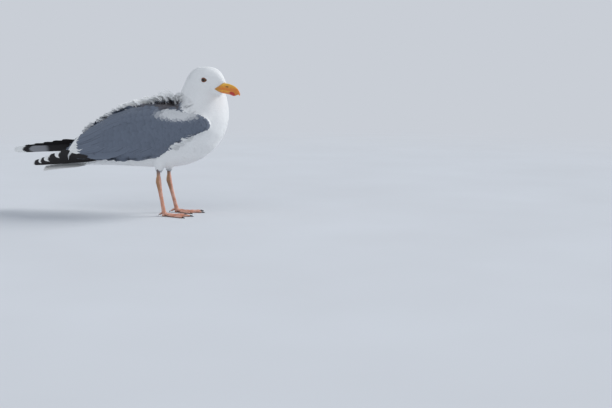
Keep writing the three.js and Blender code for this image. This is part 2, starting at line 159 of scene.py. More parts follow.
def select_only(obj: bpy.types.Object) -> None:
    """Makes one object the active one and the only one selected.

    Args:
        obj: The object.
    """
    select_none()
    obj.select_set(True)
    bpy.context.view_layer.objects.active = obj


def apply_modifier(obj: bpy.types.Object, kind: str, **settings: object) -> None:
    """Adds a modifier with these settings and applies it.

    Args:
        obj: The object that it changes.
        kind: Its type.
        **settings: Its properties.
    """
    select_only(obj)
    modifier = obj.modifiers.new(kind.title(), kind)
    for name, value in settings.items():
        setattr(modifier, name, value)
    bpy.ops.object.modifier_apply(modifier=modifier.name)


def read(items: object, name: str, width: int, kind: type = np.float32) -> np.ndarray:
    """A property of a mesh's vertices, edges or corners, as rows of this many numbers.

    Args:
        items: The vertices, the edges or the corners.
        name: The property.
        width: How many numbers it has.
        kind: Their type.

    Returns:
        One row for each.
    """
    found = np.empty(len(items) * width, kind)
    items.foreach_get(name, found)
    return found.reshape(-1, width)


def points_of(obj: bpy.types.Object) -> np.ndarray:
    """An object's vertices in millimetres."""
    return read(obj.data.vertices, "co", 3).astype(float) / MM


def move_points(obj: bpy.types.Object, points: np.ndarray) -> None:
    """Puts an object's vertices at these places, in millimetres."""
    obj.data.vertices.foreach_set("co", (points * MM).astype(np.float32).ravel())
    obj.data.update()


def normals_of(obj: bpy.types.Object) -> np.ndarray:
    """An object's vertex normals."""
    return read(obj.data.vertex_normals, "vector", 3).astype(float)


def face_outwards(obj: bpy.types.Object) -> None:
    """Turns all the faces of a closed mesh outwards.

    Args:
        obj: The object, which stays selected.
    """
    select_only(obj)
    bpy.ops.object.mode_set(mode="EDIT")
    bpy.ops.mesh.select_all(action="SELECT")
    bpy.ops.mesh.normals_make_consistent(inside=False)
    bpy.ops.object.mode_set(mode="OBJECT")


def fused(name: str, nodes: tuple[str, ...], voxel: float, smoothing: int) -> bpy.types.Object:
    """One closed, even mesh over copies of CAD nodes, with the corners of their facets smoothed off.

    Args:
        name: The new object's name.
        nodes: The CAD nodes to copy and fuse.
        voxel: The size of the new mesh's faces.
        smoothing: How many times the mesh is smoothed.

    Returns:
        The new object.
    """
    select_none()
    copies = [bpy.data.objects.new(name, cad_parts[node].data.copy()) for node in nodes]
    for copy in copies:
        bpy.context.scene.collection.objects.link(copy)
        copy.select_set(True)
    whole = copies[0]
    bpy.context.view_layer.objects.active = whole
    bpy.ops.object.join()
    bpy.ops.object.mode_set(mode="EDIT")
    bpy.ops.mesh.select_all(action="SELECT")
    bpy.ops.mesh.remove_doubles(threshold=SAME_PLACE * MM)
    bpy.ops.object.mode_set(mode="OBJECT")
    whole.data.materials.clear()
    apply_modifier(whole, "REMESH", mode="VOXEL", voxel_size=voxel * MM)
    apply_modifier(whole, "SMOOTH", factor=0.5, iterations=smoothing)
    keep_largest(whole)
    select_only(whole)
    bpy.ops.object.shade_smooth()
    return whole


def keep_largest(obj: bpy.types.Object) -> None:
    """Deletes every loose shell of a mesh but the one with the most vertices.

    Args:
        obj: The object.
    """
    mesh = obj.data
    edges = read(mesh.edges, "vertices", 2, np.int32)
    shell = np.arange(len(mesh.vertices))
    while True:
        low = np.minimum(shell[edges[:, 0]], shell[edges[:, 1]])
        before = shell.copy()
        np.minimum.at(shell, edges[:, 0], low)
        np.minimum.at(shell, edges[:, 1], low)
        shell = shell[shell]
        if (shell == before).all():
            break
    names, counts = np.unique(shell, return_counts=True)
    stray = shell != names[counts.argmax()]
    if stray.any():
        select_only(obj)
        bpy.ops.object.mode_set(mode="EDIT")
        bpy.ops.mesh.select_all(action="DESELECT")
        bpy.ops.object.mode_set(mode="OBJECT")
        mesh.vertices.foreach_set("select", stray)
        bpy.ops.object.mode_set(mode="EDIT")
        bpy.ops.mesh.delete(type="VERT")
        bpy.ops.object.mode_set(mode="OBJECT")


class Surface:
    """A closed mesh as something that feathers can be laid on."""

    closest = 0.1  # no two places are asked to be closer than this
    tries = 6  # how many places are drawn for each that is wanted

    def __init__(self, obj: bpy.types.Object) -> None:
        """Reads the mesh's corners, its smooth normals and a tree for the nearest place.

        Args:
            obj: An object whose faces all have four corners.
        """
        self.points = points_of(obj)
        self.quads = read(obj.data.loops, "vertex_index", 1, np.int32).reshape(-1, 4)
        self.tree = BVHTree.FromPolygons(self.points.tolist(), self.quads.tolist())
        self.normals = unit(normals_of(obj)[self.quads].mean(axis=1))
        self.middles = self.points[self.quads].mean(axis=1)
        across = self.points[self.quads[:, 2]] - self.points[self.quads[:, 0]]
        other = self.points[self.quads[:, 3]] - self.points[self.quads[:, 1]]
        self.areas = np.linalg.norm(np.cross(across, other), axis=1) / 2

    def snap(self, points: np.ndarray) -> tuple[np.ndarray, np.ndarray]:
        """The nearest place on the surface to each point, and the normal there.

        Args:
            points: The points.

        Returns:
            The places and the normals.
        """
        found = [self.tree.find_nearest(Vector(p)) for p in points.tolist()]
        places = np.array([hit[0] for hit in found])
        return places, self.normals[[hit[2] for hit in found]]

    def hit(self, start: np.ndarray, way: np.ndarray) -> tuple[np.ndarray, np.ndarray] | None:
        """The first place that a ray meets the surface, and the normal there."""
        place, _, face, _ = self.tree.ray_cast(Vector(start), Vector(way))
        return None if place is None else (np.array(place), self.normals[face])

    def scatter(self, spacing: np.ndarray, seed: int) -> tuple[np.ndarray, np.ndarray]:
        """Places that are evenly apart, by a spacing that changes over the surface.

        Args:
            spacing: How far apart places should be at each face, or 0 where there are none.
            seed: The seed of the draw.

        Returns:
            The places and the normal at each.
        """
        rng = np.random.default_rng(seed)
        wanted = np.where(spacing > 0, self.areas / np.maximum(spacing, self.closest) ** 2, 0)
        count = int(wanted.sum() * self.tries)
        faces = rng.choice(len(wanted), count, p=wanted / wanted.sum())
        u, v = rng.random((2, count, 1))
        a, b, c, d = (self.points[self.quads[faces, k]] for k in range(4))
        places = (a * (1 - u) + b * u) * (1 - v) + (d * (1 - u) + c * u) * v
        tree = KDTree(count)
        for i, place in enumerate(places.tolist()):
            tree.insert(place, i)
        tree.balance()
        free = np.ones(count, bool)
        chosen = []
        for i in range(count):
            if not free[i]:
                continue
            chosen.append(i)
            for _, near, _ in tree.find_range(places[i], spacing[faces[i]]):
                free[near] = False
        return places[chosen], self.normals[faces[chosen]]


def object_of(name: str, points: np.ndarray, faces: list[np.ndarray]) -> bpy.types.Object:
    """A new object with a smooth-shaded mesh from arrays.

    Args:
        name: The object's name.
        points: The vertices, in millimetres.
        faces: One array of vertex numbers for each count of sides.

    Returns:
        The object, linked to the scene.
    """
    mesh = bpy.data.meshes.new(name)
    mesh.vertices.add(len(points))
    mesh.vertices.foreach_set("co", (points * MM).astype(np.float32).ravel())
    corners = np.concatenate([f.ravel() for f in faces]).astype(np.int32)
    sides = np.concatenate([np.full(len(f), f.shape[1]) for f in faces])
    mesh.loops.add(len(corners))
    mesh.loops.foreach_set("vertex_index", corners)
    mesh.polygons.add(len(sides))
    mesh.polygons.foreach_set("loop_start", (np.cumsum(sides) - sides).astype(np.int32))
    mesh.update(calc_edges=True)
    mesh.validate()
    mesh.shade_smooth()
    obj = bpy.data.objects.new(name, mesh)
    bpy.context.scene.collection.objects.link(obj)
    return obj


def paint(obj: bpy.types.Object, name: str, values: np.ndarray) -> None:
    """Writes a colour attribute with one row of four numbers for each vertex."""
    layer = obj.data.color_attributes.new(name, "FLOAT_COLOR", "POINT")
    layer.data.foreach_set("color", values.astype(np.float32).ravel())


def dress(obj: bpy.types.Object, finish: bpy.types.Material, nodes: tuple = ()) -> None:
    """Gives a piece its finish, and its place on the body for the CAD nodes that it stands for.

    Args:
        obj: The piece.
        finish: Its material.
        nodes: The CAD nodes.
    """
    obj.data.materials.append(finish)
    if nodes:
        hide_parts(*nodes)
    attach(obj, "root")
    log.info("%s: %d faces", obj.name, len(obj.data.polygons))


def ring_quads(rings: int, around: int) -> list[tuple[int, int, int, int]]:
    """The faces of a tube, from rings of points that follow each other.

    Args:
        rings: How many rings.
        around: How many points there are in each.

    Returns:
        The vertex numbers of each face.
    """
    return [
        (near + j, near + (j + 1) % around, near + around + (j + 1) % around, near + around + j)
        for near in range(0, (rings - 1) * around, around)
        for j in range(around)
    ]


def map_uv(obj: bpy.types.Object, name: str, places: np.ndarray) -> None:
    """Writes a UV map from one place for each vertex.

    Args:
        obj: The object.
        name: The map's name.
        places: The places.
    """
    corners = read(obj.data.loops, "vertex_index", 1, np.int32).ravel()
    layer = obj.data.uv_layers.new(name=name, do_init=False)
    layer.uv.foreach_set("vector", places[corners].astype(np.float32).ravel())


# ---- how the plumage lies -------------------------------------------------------------------------------


@dataclass(frozen=True)
class Lie:
    """The lie of the feathers at one place on the bird, which its neighbourhood shares.

    The place is in shares of a CAD node's box, with y from its middle, or in the head's frame where there is
    no node.
    """

    node: str | None
    place: tuple[float, float, float]
    heading: tuple[float, float, float]
    length: float
    depth: float

    def on(self, side: int) -> tuple[np.ndarray, np.ndarray]:
        """Place and heading on one side of the bird, in the model's frame.

        Args:
            side: -1 on the right, 1 on the left.

        Returns:
            The place and the heading.
        """
        x, y, z = self.place
        heading = np.array(self.heading) * (1, side, 1)
        if self.node is None:
            return HEAD.out((x, side * y, z)), heading @ HEAD.axes()
        node = self.node.replace("right", "left") if side == SIDES["left"] else self.node
        return within(node, (x, 0.5 + side * y, z)), heading


HEAD_LIES = [
    Lie(None, (36, 0, 0), (-1, 0, 0.3), 2.6, 0.5),
    Lie(None, (30, 9, -8), (-1, 0.25, 0.05), 2.4, 0.5),
    Lie(None, (28, 0, -20), (-1, 0, -0.15), 3.0, 0.6),
    Lie(None, (15, 16, -2), (-0.95, 0.25, 0.1), 2.6, 0.5),
    Lie(None, (-2, 18, 12), (-1, 0, 0.1), 3.2, 0.6),
    Lie(None, (-4, 22, -6), (-1, 0.05, -0.2), 3.2, 0.6),
    Lie(None, (-18, 26, -8), (-0.9, 0, -0.45), 5.0, 0.7),
    Lie(None, (22, 0, 15), (-0.85, 0, 0.5), 3.6, 0.6),
    Lie(None, (0, 0, 26), (-1, 0, 0), 5.0, 0.7),
    Lie(None, (-30, 0, 25), (-0.9, 0, -0.4), 6.5, 0.9),
    Lie(None, (-52, 0, 5), (-0.3, 0, -1), 8.0, 1.1),
    Lie(None, (10, 0, -29), (-0.75, 0, -0.65), 5.5, 0.8),
    Lie(None, (-20, 25, -22), (-0.6, 0, -0.8), 7.5, 1.0),
]
BODY_LIES = [
    Lie("neck", (0.98, 0, 0.75), (-0.2, 0, -1), 7.5, 0.9),
    Lie("neck", (0.9, 0.3, 0.3), (-0.3, 0, -1), 9, 1.1),
    Lie("neck", (0.35, 0.48, 0.4), (-0.55, 0, -0.85), 9, 1.2),
    Lie("neck", (0.1, 0, 0.7), (-0.45, 0, -0.9), 8, 1.2),
    Lie("trunk", (1, 0, 0.7), (-0.3, 0, -0.95), 11, 1.7),
    Lie("trunk", (0.93, 0.2, 0.3), (-0.85, 0, -0.5), 13, 1.9),
    Lie("trunk", (0.68, 0.1, 0), (-1, 0, -0.05), 14, 2.0),
    Lie("trunk", (0.35, 0, 0.05), (-1, 0, 0.05), 18, 1.9),
    Lie("trunk", (0, 0, 0.05), (-1, 0, -0.1), 26, 1.4),
    Lie("trunk", (0.8, 0.48, 0.4), (-0.97, 0, -0.2), 14, 2.0),
    Lie("trunk", (0.47, 0.38, 0.2), (-1, 0, 0), 18, 2.0),
    Lie("trunk", (0.73, 0, 1), (-0.97, 0, 0.1), 13, 1.9),
    Lie("trunk", (0.5, 0, 1), (-1, 0, -0.1), 18, 1.9),
    Lie("trunk", (0.18, 0, 0.65), (-0.9, 0, -0.4), 24, 1.9),
    Lie("trunk", (0, 0, 0.25), (-0.95, 0, -0.3), 26, 1.4),
    Lie("thigh_right", (0.4, 0.4, 0.6), (-0.3, 0, -1), 7, 1.6),
    Lie("thigh_right", (0.35, 0.1, 0.25), (-0.1, 0, -1), 3.6, 0.9),
    Lie("thigh_right", (0.35, 0.1, 0), (0, 0, -1), 2.4, 0.6),
]
WING_LIES = [
    Lie("wing_right", (0.97, 0.2, 0.62), (-0.85, 0, -0.5), 8, 1.8),
    Lie("wing_right", (0.9, 0.3, 0.75), (-0.9, 0, -0.4), 11, 2.2),
    Lie("wing_right", (0.8, 0.45, 0.5), (-0.95, 0, -0.2), 12, 2.2),
    Lie("wing_right", (0.6, 0.5, 0.55), (-1, 0, -0.25), 20, 2.4),
    Lie("wing_right", (0.55, 0.35, 0.2), (-1, 0, -0.08), 24, 2.4),
    Lie("wing_right", (0.6, 0, 0.95), (-0.97, 0, -0.2), 24, 3.0),
    Lie("wing_right", (0.25, 0.35, 0.45), (-1, 0, -0.25), 30, 2.4),
    Lie("wing_right", (0.05, 0.4, 0.3), (-1, 0, -0.2), 13, 1.6),
    Lie("wing_right", (0.02, 0.6, 0.1), (-1, 0, -0.1), 11, 1.4),
]


class Plumage:
    """The lie, length and depth of the feathers anywhere, from the places where they are given."""

    reach = 3.0  # a given place counts alone within about this distance

    def __init__(self, lies: list[Lie]) -> None:
        """Spreads the given places over both sides of the bird.

        Args:
            lies: The lie at each place.
        """
        rows = [(*lie.on(side), lie) for lie in lies for side in SIDES.values()]
        self.places = np.array([row[0] for row in rows])
        self.headings = unit(np.array([row[1] for row in rows]))
        self.lengths = np.log([row[2].length for row in rows])
        self.depths = np.array([row[2].depth for row in rows])

    def shares(self, points: np.ndarray) -> np.ndarray:
        """How much each given place counts at each point.

        Args:
            points: The points.

        Returns:
            A row for each point, which adds up to 1.
        """
        apart = ((points[:, None] - self.places[None]) ** 2).sum(axis=2)
        weight = 1 / (apart + self.reach**2) ** 2
        return weight / weight.sum(axis=1, keepdims=True)

    def heading(self, points: np.ndarray) -> np.ndarray:
        """The way that feathers point."""
        return unit(self.shares(points) @ self.headings)

    def length(self, points: np.ndarray) -> np.ndarray:
        """The length of the feathers."""
        return np.exp(self.shares(points) @ self.lengths)

    def depth(self, points: np.ndarray) -> np.ndarray:
        """The depth of the coat over the skin."""
        return self.shares(points) @ self.depths


# ---- markings -------------------------------------------------------------------------------------------


@dataclass(frozen=True)
class Markings:
    """Where the bird is grey, where painted shade darkens the hollow under the crest, and where it is bare of
    feathers. Skin and feathers both follow it.

    Each border is a pair: where it begins, and where it ends.
    """

    collar_bow: float = 48.0  # how much further forward the grey of the back reaches at the sides
    ragged: float = 2.5  # how uneven the borders between white and grey are
    mantle_foot: tuple = (52, 44)  # the border of the grey down the flanks, under the wings' tops
    rump: tuple = (50, 30)  # and over the rump, behind the crest
    nape: tuple = (9, 5)  # and on the nape, over the wings' tops
    orbit: tuple = (6.9, 5.0)  # half the length and height of the bare place round the eye
    orbit_side: float = 10.0  # how far from the middle of the head the bare places begin
    sock: float = 0.55  # how much painted shade greys the short white feathers at the top of each leg, under the belly
    sock_top: tuple = (9, 3)  # the border of those feathers, over the thigh's foot
    sock_reach: tuple = (13, 9)  # and round the leg, from its middle
    shoulder_at: tuple = (0.83, 0.835)  # the pale patch, in shares of the wing's box along x and z
    shoulder_reach: tuple = (0.125, 0.105)  # half its length and height
    shoulder_edge: tuple = (1.3, 0.65)  # its border, in shares of those
    shoulder_pale: float = 0.72  # how much of the grey it lacks
    # The lower edge of the painted shade in the hollow under the crest, in shares of its height, from its back
    # to its front.
    hollow_floor: tuple = ((0.3,), (0.25,), (0.24,), (0.27,), (0.3,), (0.32,), (0.3,), (0.22,), (0.22,))
    hollow_ends: tuple = ((0.2, 0.3), (1.2, 1.1))  # its border aft and fore, in shares of the crest's length
    mouth: tuple = (19.5, -13.5)  # the corner of the mouth, in the head's frame
    gape: tuple = ((0.1, 0.78), (-0.1, -0.5))  # its upper and lower edge: height there, and slope
    gape_edge: float = 0.8  # how soft those edges are

    def grey(self, points: np.ndarray, on_wing: bool | np.ndarray, seed: int) -> np.ndarray:
        """The share of grey, from 0 on white plumage to 1 on the mantle and wings, and up to 2 with the painted
        shade in the hollow under the crest.

        Args:
            points: Where.
            on_wing: Whether the points are on a wing.
            seed: The seed of the ragged border, or 0 for an even one.

        Returns:
            The shares.
        """
        x, y, z = points.T
        (rear, _, _), (fore, _, _) = node_box("crest")
        side = np.abs(y) / node_box("trunk")[1][1]
        ragged = np.random.default_rng(seed).normal(0, self.ragged, len(points)) if seed else 0
        border = fore + self.collar_bow * side**2
        above = ramp(z, *(node_box("wing_right")[1][2] - np.array(self.mantle_foot)))
        ahead = ramp(x, *(rear - np.array(self.rump)))
        back = ramp(border - x + ragged, -2, 2) * above * self.under_nape(z) * ahead
        # painted shade on the white feathers at the top of each leg, under the belly
        sock = self.sock * self.ankle(points)
        return np.where(on_wing, 1 - self.shoulder(points, ragged), back + sock) + self.hollow(points)

    def ankle(self, points: np.ndarray) -> np.ndarray:
        """1 at the foot of each thigh, where its feathers end on the leg, and 0 away from it.

        Args:
            points: Where.

        Returns:
            The shares.
        """
        share = np.zeros(len(points))
        for side in SIDES:
            leg = points_of(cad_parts[f"shank_{side}"])
            top = leg[leg[:, 2] > leg[:, 2].max() - 3].mean(axis=0)
            low = node_box(f"thigh_{side}")[0][2]
            off = np.hypot(points[:, 0] - top[0], points[:, 1] - top[1])
            share += ramp(points[:, 2], *(low + np.array(self.sock_top))) * ramp(off, *self.sock_reach)
        return share

    def shoulder(self, points: np.ndarray, ragged: np.ndarray | float) -> np.ndarray:
        """How much paler the ruffled feathers over the shoulder are.

        Args:
            points: Where.
            ragged: How far the border is moved at each.

        Returns:
            The share of grey that they lose.
        """
        low, high = (corner[[0, 2]] for corner in node_box("wing_right"))
        apart = ((points[:, [0, 2]] - low) / (high - low) - self.shoulder_at) / self.shoulder_reach
        off = np.hypot(*apart.T) + np.asarray(ragged) / 60
        return self.shoulder_pale * (points[:, 1] < 0) * ramp(off, *self.shoulder_edge)

    def hollow(self, points: np.ndarray) -> np.ndarray:
        """How dark the painted shade is in the hollow of parted feathers under the crest, on the side that the
        wind comes from.

        Args:
            points: Where.

        Returns:
            The shares.
        """
        low, high = node_box("crest")
        share = (points[:, 0] - low[0]) / (high[0] - low[0])
        floor = low[2] + (high[2] - low[2]) * through(self.hollow_floor, share)[:, 0]
        deep = ramp(points[:, 2] - floor, -1.0, 3.0) * ramp(points[:, 1], -1, -5)
        rear, fore = (ramp(share, *end) for end in self.hollow_ends)
        return deep * self.under_nape(points[:, 2]) * rear * fore

    def under_nape(self, z: np.ndarray) -> np.ndarray:
        """1 up to the foot of the neck, and 0 above it."""
        return ramp(z, *(node_box("wing_right")[1][2] + np.array(self.nape)))

    def bare(self, points: np.ndarray) -> np.ndarray:
        """Whether each point is under the bill or the bare ring of an eye.

        Args:
            points: Where.

        Returns:
            True or False for each.
        """
        a, b, c = HEAD.into(points).T
        eye = np.hypot((a - HEAD.eye_a) / self.orbit[0], (c - HEAD.eye_c) / self.orbit[1]) < 1
        return (eye & (np.abs(b) > self.orbit_side)) | (self.horny(points) > 0.5)

    def horny(self, points: np.ndarray) -> np.ndarray:
        """1 in the wedge of bare horn that runs back from the bill to the corner of the mouth, 0 outside.

        Args:
            points: Where.

        Returns:
            The shares.
        """
        a, _, c = HEAD.into(points).T
        reach, height = a - self.mouth[0], c - self.mouth[1]
        (top, rise), (foot, fall) = self.gape
        edge = self.gape_edge
        above = ramp(height - top - rise * reach, edge, -edge)
        below = ramp(foot + fall * reach - height, edge, -edge)
        return above * below * ramp(reach, -0.5, 1.0)


MARKINGS = Markings()


# ---- skin -----------------------------------------------------------------------------------------------

FLESH = ("trunk", "neck", "head", "thigh_right", "thigh_left", "wing_right", "wing_left")
SKIN_MARK = (0.4, 0.5, 0.5)  # along, chance and across, as on the middle of a feather


@dataclass
class Skin:
    """One skin in place of the nodes of flesh, as deep under their outline as the coat is thick."""

    voxel: float = 1.9  # the size of its faces
    smoothing: int = 10  # how often all of it is smoothed
    evening: int = 70  # how often the broad parts are smoothed
    thick: tuple = (25.0, 60.0)  # how thick the body is where that begins, and where it is whole
    thickest: float = 100.0  # taken where a ray finds no other side
    smallest_wall: float = 0.3  # the skin never goes in by more than this share of the way to its other side
    under_surface: float = 0.2  # how far inside the skin a ray to its other side begins
    under_eye: float = 0.45  # how far under the eyeball's surface the skin lies
    eye_hollow: tuple = (6.0, 0.8)  # how far round the ring the skin begins to come down to it, and has
    face_at: tuple = (19, 8)  # how far from the middle the sides of the face are, and how wide they are
    # The brow, the lore and the cheek: how far each stands out, its place and width along a, and along c.
    swellings: tuple = ((0.9, -2, 9, 11, 4), (-1.1, 14, 8, 0, 6), (0.8, -6, 12, -13, 7))
    mouth_depth: float = 1.7  # how far the skin goes in at the corner of the mouth
    sock: float = 3.0  # how far the thighs reach down over the legs
    sock_depth: float = 0.8  # how much slimmer they are there
    trees: dict[str, BVHTree] = field(default_factory=dict)  # the shape of each CAD node of flesh

    def __post_init__(self) -> None:
        """Notes the shape of each CAD node of flesh."""
        for name in FLESH:
            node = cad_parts[name]
            faces = [tuple(face.vertices) for face in node.data.polygons]
            self.trees[name] = BVHTree.FromPolygons(points_of(node).tolist(), faces)

    def build(self, plumage: dict[str, Plumage], finish: bpy.types.Material) -> bpy.types.Object:
        """Makes the skin, with the markings of the coat over it.

        Args:
            plumage: The lie of the feathers on the body and on the wings.
            finish: The material of the plumage.

        Returns:
            The skin, which replaces the nodes of flesh.
        """
        eyes = tuple(f"eye_{side}" for side in SIDES)
        skin = fused("skin", FLESH + eyes, self.voxel, self.smoothing)
        labels = self.nearest(points_of(skin))
        self.even_out(skin, labels)
        outline, normals = points_of(skin), normals_of(skin)
        depths = (plumage[kind].depth(outline) for kind in ("wing", "body"))
        depth = np.where(self.on_wing(labels), *depths)
        depth = np.minimum(depth, self.smallest_wall * self.walls(skin, outline, normals))
        move_points(skin, outline - normals * depth[:, None] + self.features(outline, normals))
        apply_modifier(skin, "SMOOTH", factor=0.5, iterations=3)
        for side in SIDES:
            self.seat(skin, Eye(side))
        grey = MARKINGS.grey(points_of(skin), self.on_wing(self.nearest(points_of(skin))), 0)
        marks = np.stack([grey, *(np.full_like(grey, part) for part in SKIN_MARK)], 1)
        paint(skin, "plume", marks)
        dress(skin, finish, FLESH)
        return skin

    def on_wing(self, labels: np.ndarray) -> np.ndarray:
        """Whether each of these numbers of CAD nodes in FLESH is a wing's."""
        return labels >= FLESH.index("wing_right")

    def even_out(self, skin: bpy.types.Object, labels: np.ndarray) -> None:
        """Takes the flats that the CAD's faces leave out of the neck and the trunk, where they are thick.

        Args:
            skin: The skin.
            labels: The number in FLESH of the CAD node that each of its vertices belongs to.
        """
        broad = np.isin(labels, [FLESH.index("neck"), FLESH.index("trunk")])
        share = broad * ramp(self.walls(skin, points_of(skin), normals_of(skin)), *self.thick)
        group = skin.vertex_groups.new(name="broad")
        tenths = np.round(share * 10).astype(int)
        for tenth in range(1, 11):
            group.add(np.flatnonzero(tenths == tenth).tolist(), tenth / 10, "REPLACE")
        apply_modifier(skin, "SMOOTH", factor=0.5, iterations=self.evening, vertex_group="broad")
        skin.vertex_groups.clear()

    def seat(self, skin: bpy.types.Object, eye: "Eye") -> None:
        """Takes the skin behind the eyeball inside the bare ring, and up to the ring's foot outside it.

        Args:
            skin: The skin.
            eye: The eye.
        """
        low, high = node_box(f"eye_{eye.side}")
        centre, radius = (low + high) / 2, (high[2] - low[2]) / 2
        apart = (points_of(skin) - centre) @ eye.axes().T
        across = np.hypot(apart[:, 0], apart[:, 1])
        off = np.hypot(apart[:, 0] / eye.ring_long, apart[:, 1] / eye.ring_high)
        edge = across / np.maximum(off, 1e-6)
        level = np.sqrt(radius**2 - np.minimum(across, edge) ** 2) - self.under_eye
        share = ramp(across - edge, *self.eye_hollow) * (apart[:, 2] > 0)
        apart[:, 2] += share * (level - apart[:, 2])
        move_points(skin, centre + apart @ eye.axes())

    def walls(self, skin: bpy.types.Object, points: np.ndarray, normals: np.ndarray) -> np.ndarray:
        """How far it is through the body from each point.

        Args:
            skin: The skin.
            points: Its vertices.
            normals: The normal at each.

        Returns:
            The distances.
        """
        tree = Surface(skin).tree
        starts = points - normals * self.under_surface
        hits = [tree.ray_cast(Vector(p), Vector(n))[3] for p, n in zip(starts.tolist(), (-normals).tolist())]
        return np.array([self.thickest if hit is None else hit for hit in hits])

    def features(self, points: np.ndarray, normals: np.ndarray) -> np.ndarray:
        """The brow over each eye, the hollow before it, the cheek, the mouth and the socks, as moves.

        Args:
            points: The vertices of the skin.
            normals: The normal at each.

        Returns:
            How far and which way each one moves.
        """
        a, b, c = HEAD.into(points).T
        face = bump(np.abs(b), *self.face_at)
        swell = sum(
            height * bump(a, at, long) * bump(c, level, tall)
            for height, at, long, level, tall in self.swellings
        )
        mouth = self.mouth_depth * MARKINGS.horny(points)
        ankle = MARKINGS.ankle(points)
        moves = normals * (face * swell - mouth - self.sock_depth * ankle)[:, None]
        return moves - ankle[:, None] * (0, 0, self.sock)

    def nearest(self, points: np.ndarray) -> np.ndarray:
        """The number in FLESH of the CAD node that lies nearest to each point.

        Args:
            points: Where.

        Returns:
            The numbers.
        """
        apart = [
            [tree.find_nearest(Vector(p))[3] for p in points.tolist()] for tree in self.trees.values()
        ]
        return np.argmin(np.array(apart), axis=0)


# ---- small feathers -------------------------------------------------------------------------------------

PATCH = 0.003  # the width of a feather's patch on the bake map
PATCH_LEAST = 0.3  # how much of that width its narrow ends still have
MARGIN = 0.01  # how much of the bake map is left free at each side
UNDER = 0.18  # how thick a small feather is


@dataclass(frozen=True)
class VaneForm:
    """The outline and the section of a small feather.

    Each row has the share of the way along, and the shares of the half width and of the depth there. Each
    point of the section has the share of the half width, and of the arch, or None on the underside.
    """

    rows: tuple = ((0, 0.35, -0.3), (0.3, 0.85, 0.35), (0.62, 1, 0.78), (0.87, 0.72, 0.97))
    section: tuple = ((-1, 0), (0, 1), (1, 0), (0, None))
    slim: float = 0.34  # half width as a share of length
    arch: float = 0.12  # how far the middle stands over the edges, as a share of the half width
    stray: float = 0.06  # how much the feathers' headings differ
    unlike: float = 0.06  # how much their lengths, widths and heights differ
    follow: float = 0.3  # how far a feather turns with the lie of the coat at each of its rows
    tip: tuple = (1.0, 0.0, 0.97)  # the row after the last


FLUFF = VaneForm(rows=((0, 0.5, -0.2), (0.5, 1, 0.65)), slim=0.36, stray=0.1, unlike=0.06)
SHINGLE = VaneForm(
    rows=(
        (0, 0.4, -0.3),
        (0.25, 0.85, 0.3),
        (0.5, 1, 0.65),
        (0.72, 0.97, 0.85),
        (0.88, 0.76, 0.95),
        (0.96, 0.45, 0.97),
    ),
    section=((-1, 0), (-0.5, 0.8), (0, 1), (0.5, 0.8), (1, 0), (0, None)),
    slim=0.36,
    stray=0.04,
)


@dataclass
class Vanes:
    """Small feathers laid on a surface, as arrays with one row for each feather."""

    roots: np.ndarray
    normals: np.ndarray
    headings: np.ndarray
    lengths: np.ndarray
    depths: np.ndarray
    grey: np.ndarray
    form: VaneForm = field(default_factory=VaneForm)
    sharpest: float = -1.0  # a feather runs straight on where the skin turns away under it more than this

    def lay(self, surface: Surface, plumage: Plumage, seed: int) -> tuple[np.ndarray, np.ndarray, np.ndarray]:
        """Lays every feather along the surface, from a root under it to a tip over its neighbours.

        Args:
            surface: What the feathers lie on.
            plumage: The lie that they follow.
            seed: The seed of their small differences.

        Returns:
            A row of vertices and a row of marks (grey, along, chance, across) for each feather, and the
            places of its vertices on its patch.
        """
        rng = np.random.default_rng(seed)
        form, count = self.form, len(self.roots)
        chance = rng.random(count)
        lengths, halves, rises = (rng.uniform(1 - form.unlike, 1 + form.unlike, count) for _ in range(3))
        lengths = lengths * self.lengths
        halves = halves * lengths * form.slim
        rises = rises * self.depths
        place, normal = self.roots, self.normals
        heading = unit(self.headings + rng.normal(0, form.stray, (count, 3)))
        corners, marks, patches = [], [], []
        rows = [*form.rows, form.tip]
        for k, (share, wide, high) in enumerate(rows):
            heading = unit(heading - (heading * normal).sum(axis=1, keepdims=True) * normal)
            across = np.cross(normal, heading)
            half = (halves * wide)[:, None]
            top = place + normal * (rises * high)[:, None]
            for side, arch in form.section if wide else ((0, 1),):
                fall = -UNDER if arch is None else (arch - 1) * form.arch * half
                corners.append(top + across * half * side + normal * fall)
                mark = [self.grey, np.full(count, share), chance, np.full(count, (side + 1) / 2)]
                marks.append(np.stack(mark, 1))
                patches.append((side * max(wide, PATCH_LEAST) / 2, share - 0.5))
            if wide:
                ahead = place + heading * (lengths * (rows[k + 1][0] - share))[:, None]
                landed, facing = surface.snap(ahead)
                over_edge = ((facing * normal).sum(axis=1) < self.sharpest)[:, None]
                place, normal = np.where(over_edge, ahead, landed), np.where(over_edge, normal, facing)
                heading = heading * (1 - form.follow) + plumage.heading(place) * form.follow
        return np.stack(corners, 1), np.stack(marks, 1), np.array(patches) * PATCH


def spindle_faces(rings: int, around: int, count: int) -> list[np.ndarray]:
    """The faces of closed spindles, which have a flat end at the root and a point at the tip.

    Args:
        rings: How many rings of points each one has.
        around: How many points there are in a ring.
        count: How many spindles.

    Returns:
        The vertex numbers of the ends, of the sides and of the tips.
    """
    caps = [tuple(range(around))[::-1]]
    last = around * (rings - 1)
    tips = [(last + j, last + (j + 1) % around, around * rings) for j in range(around)]
    start = np.arange(count)[:, None, None] * (around * rings + 1)
    parts = (caps, ring_quads(rings, around), tips)
    return [(start + np.array(part)).reshape(-1, len(part[0])) for part in parts]


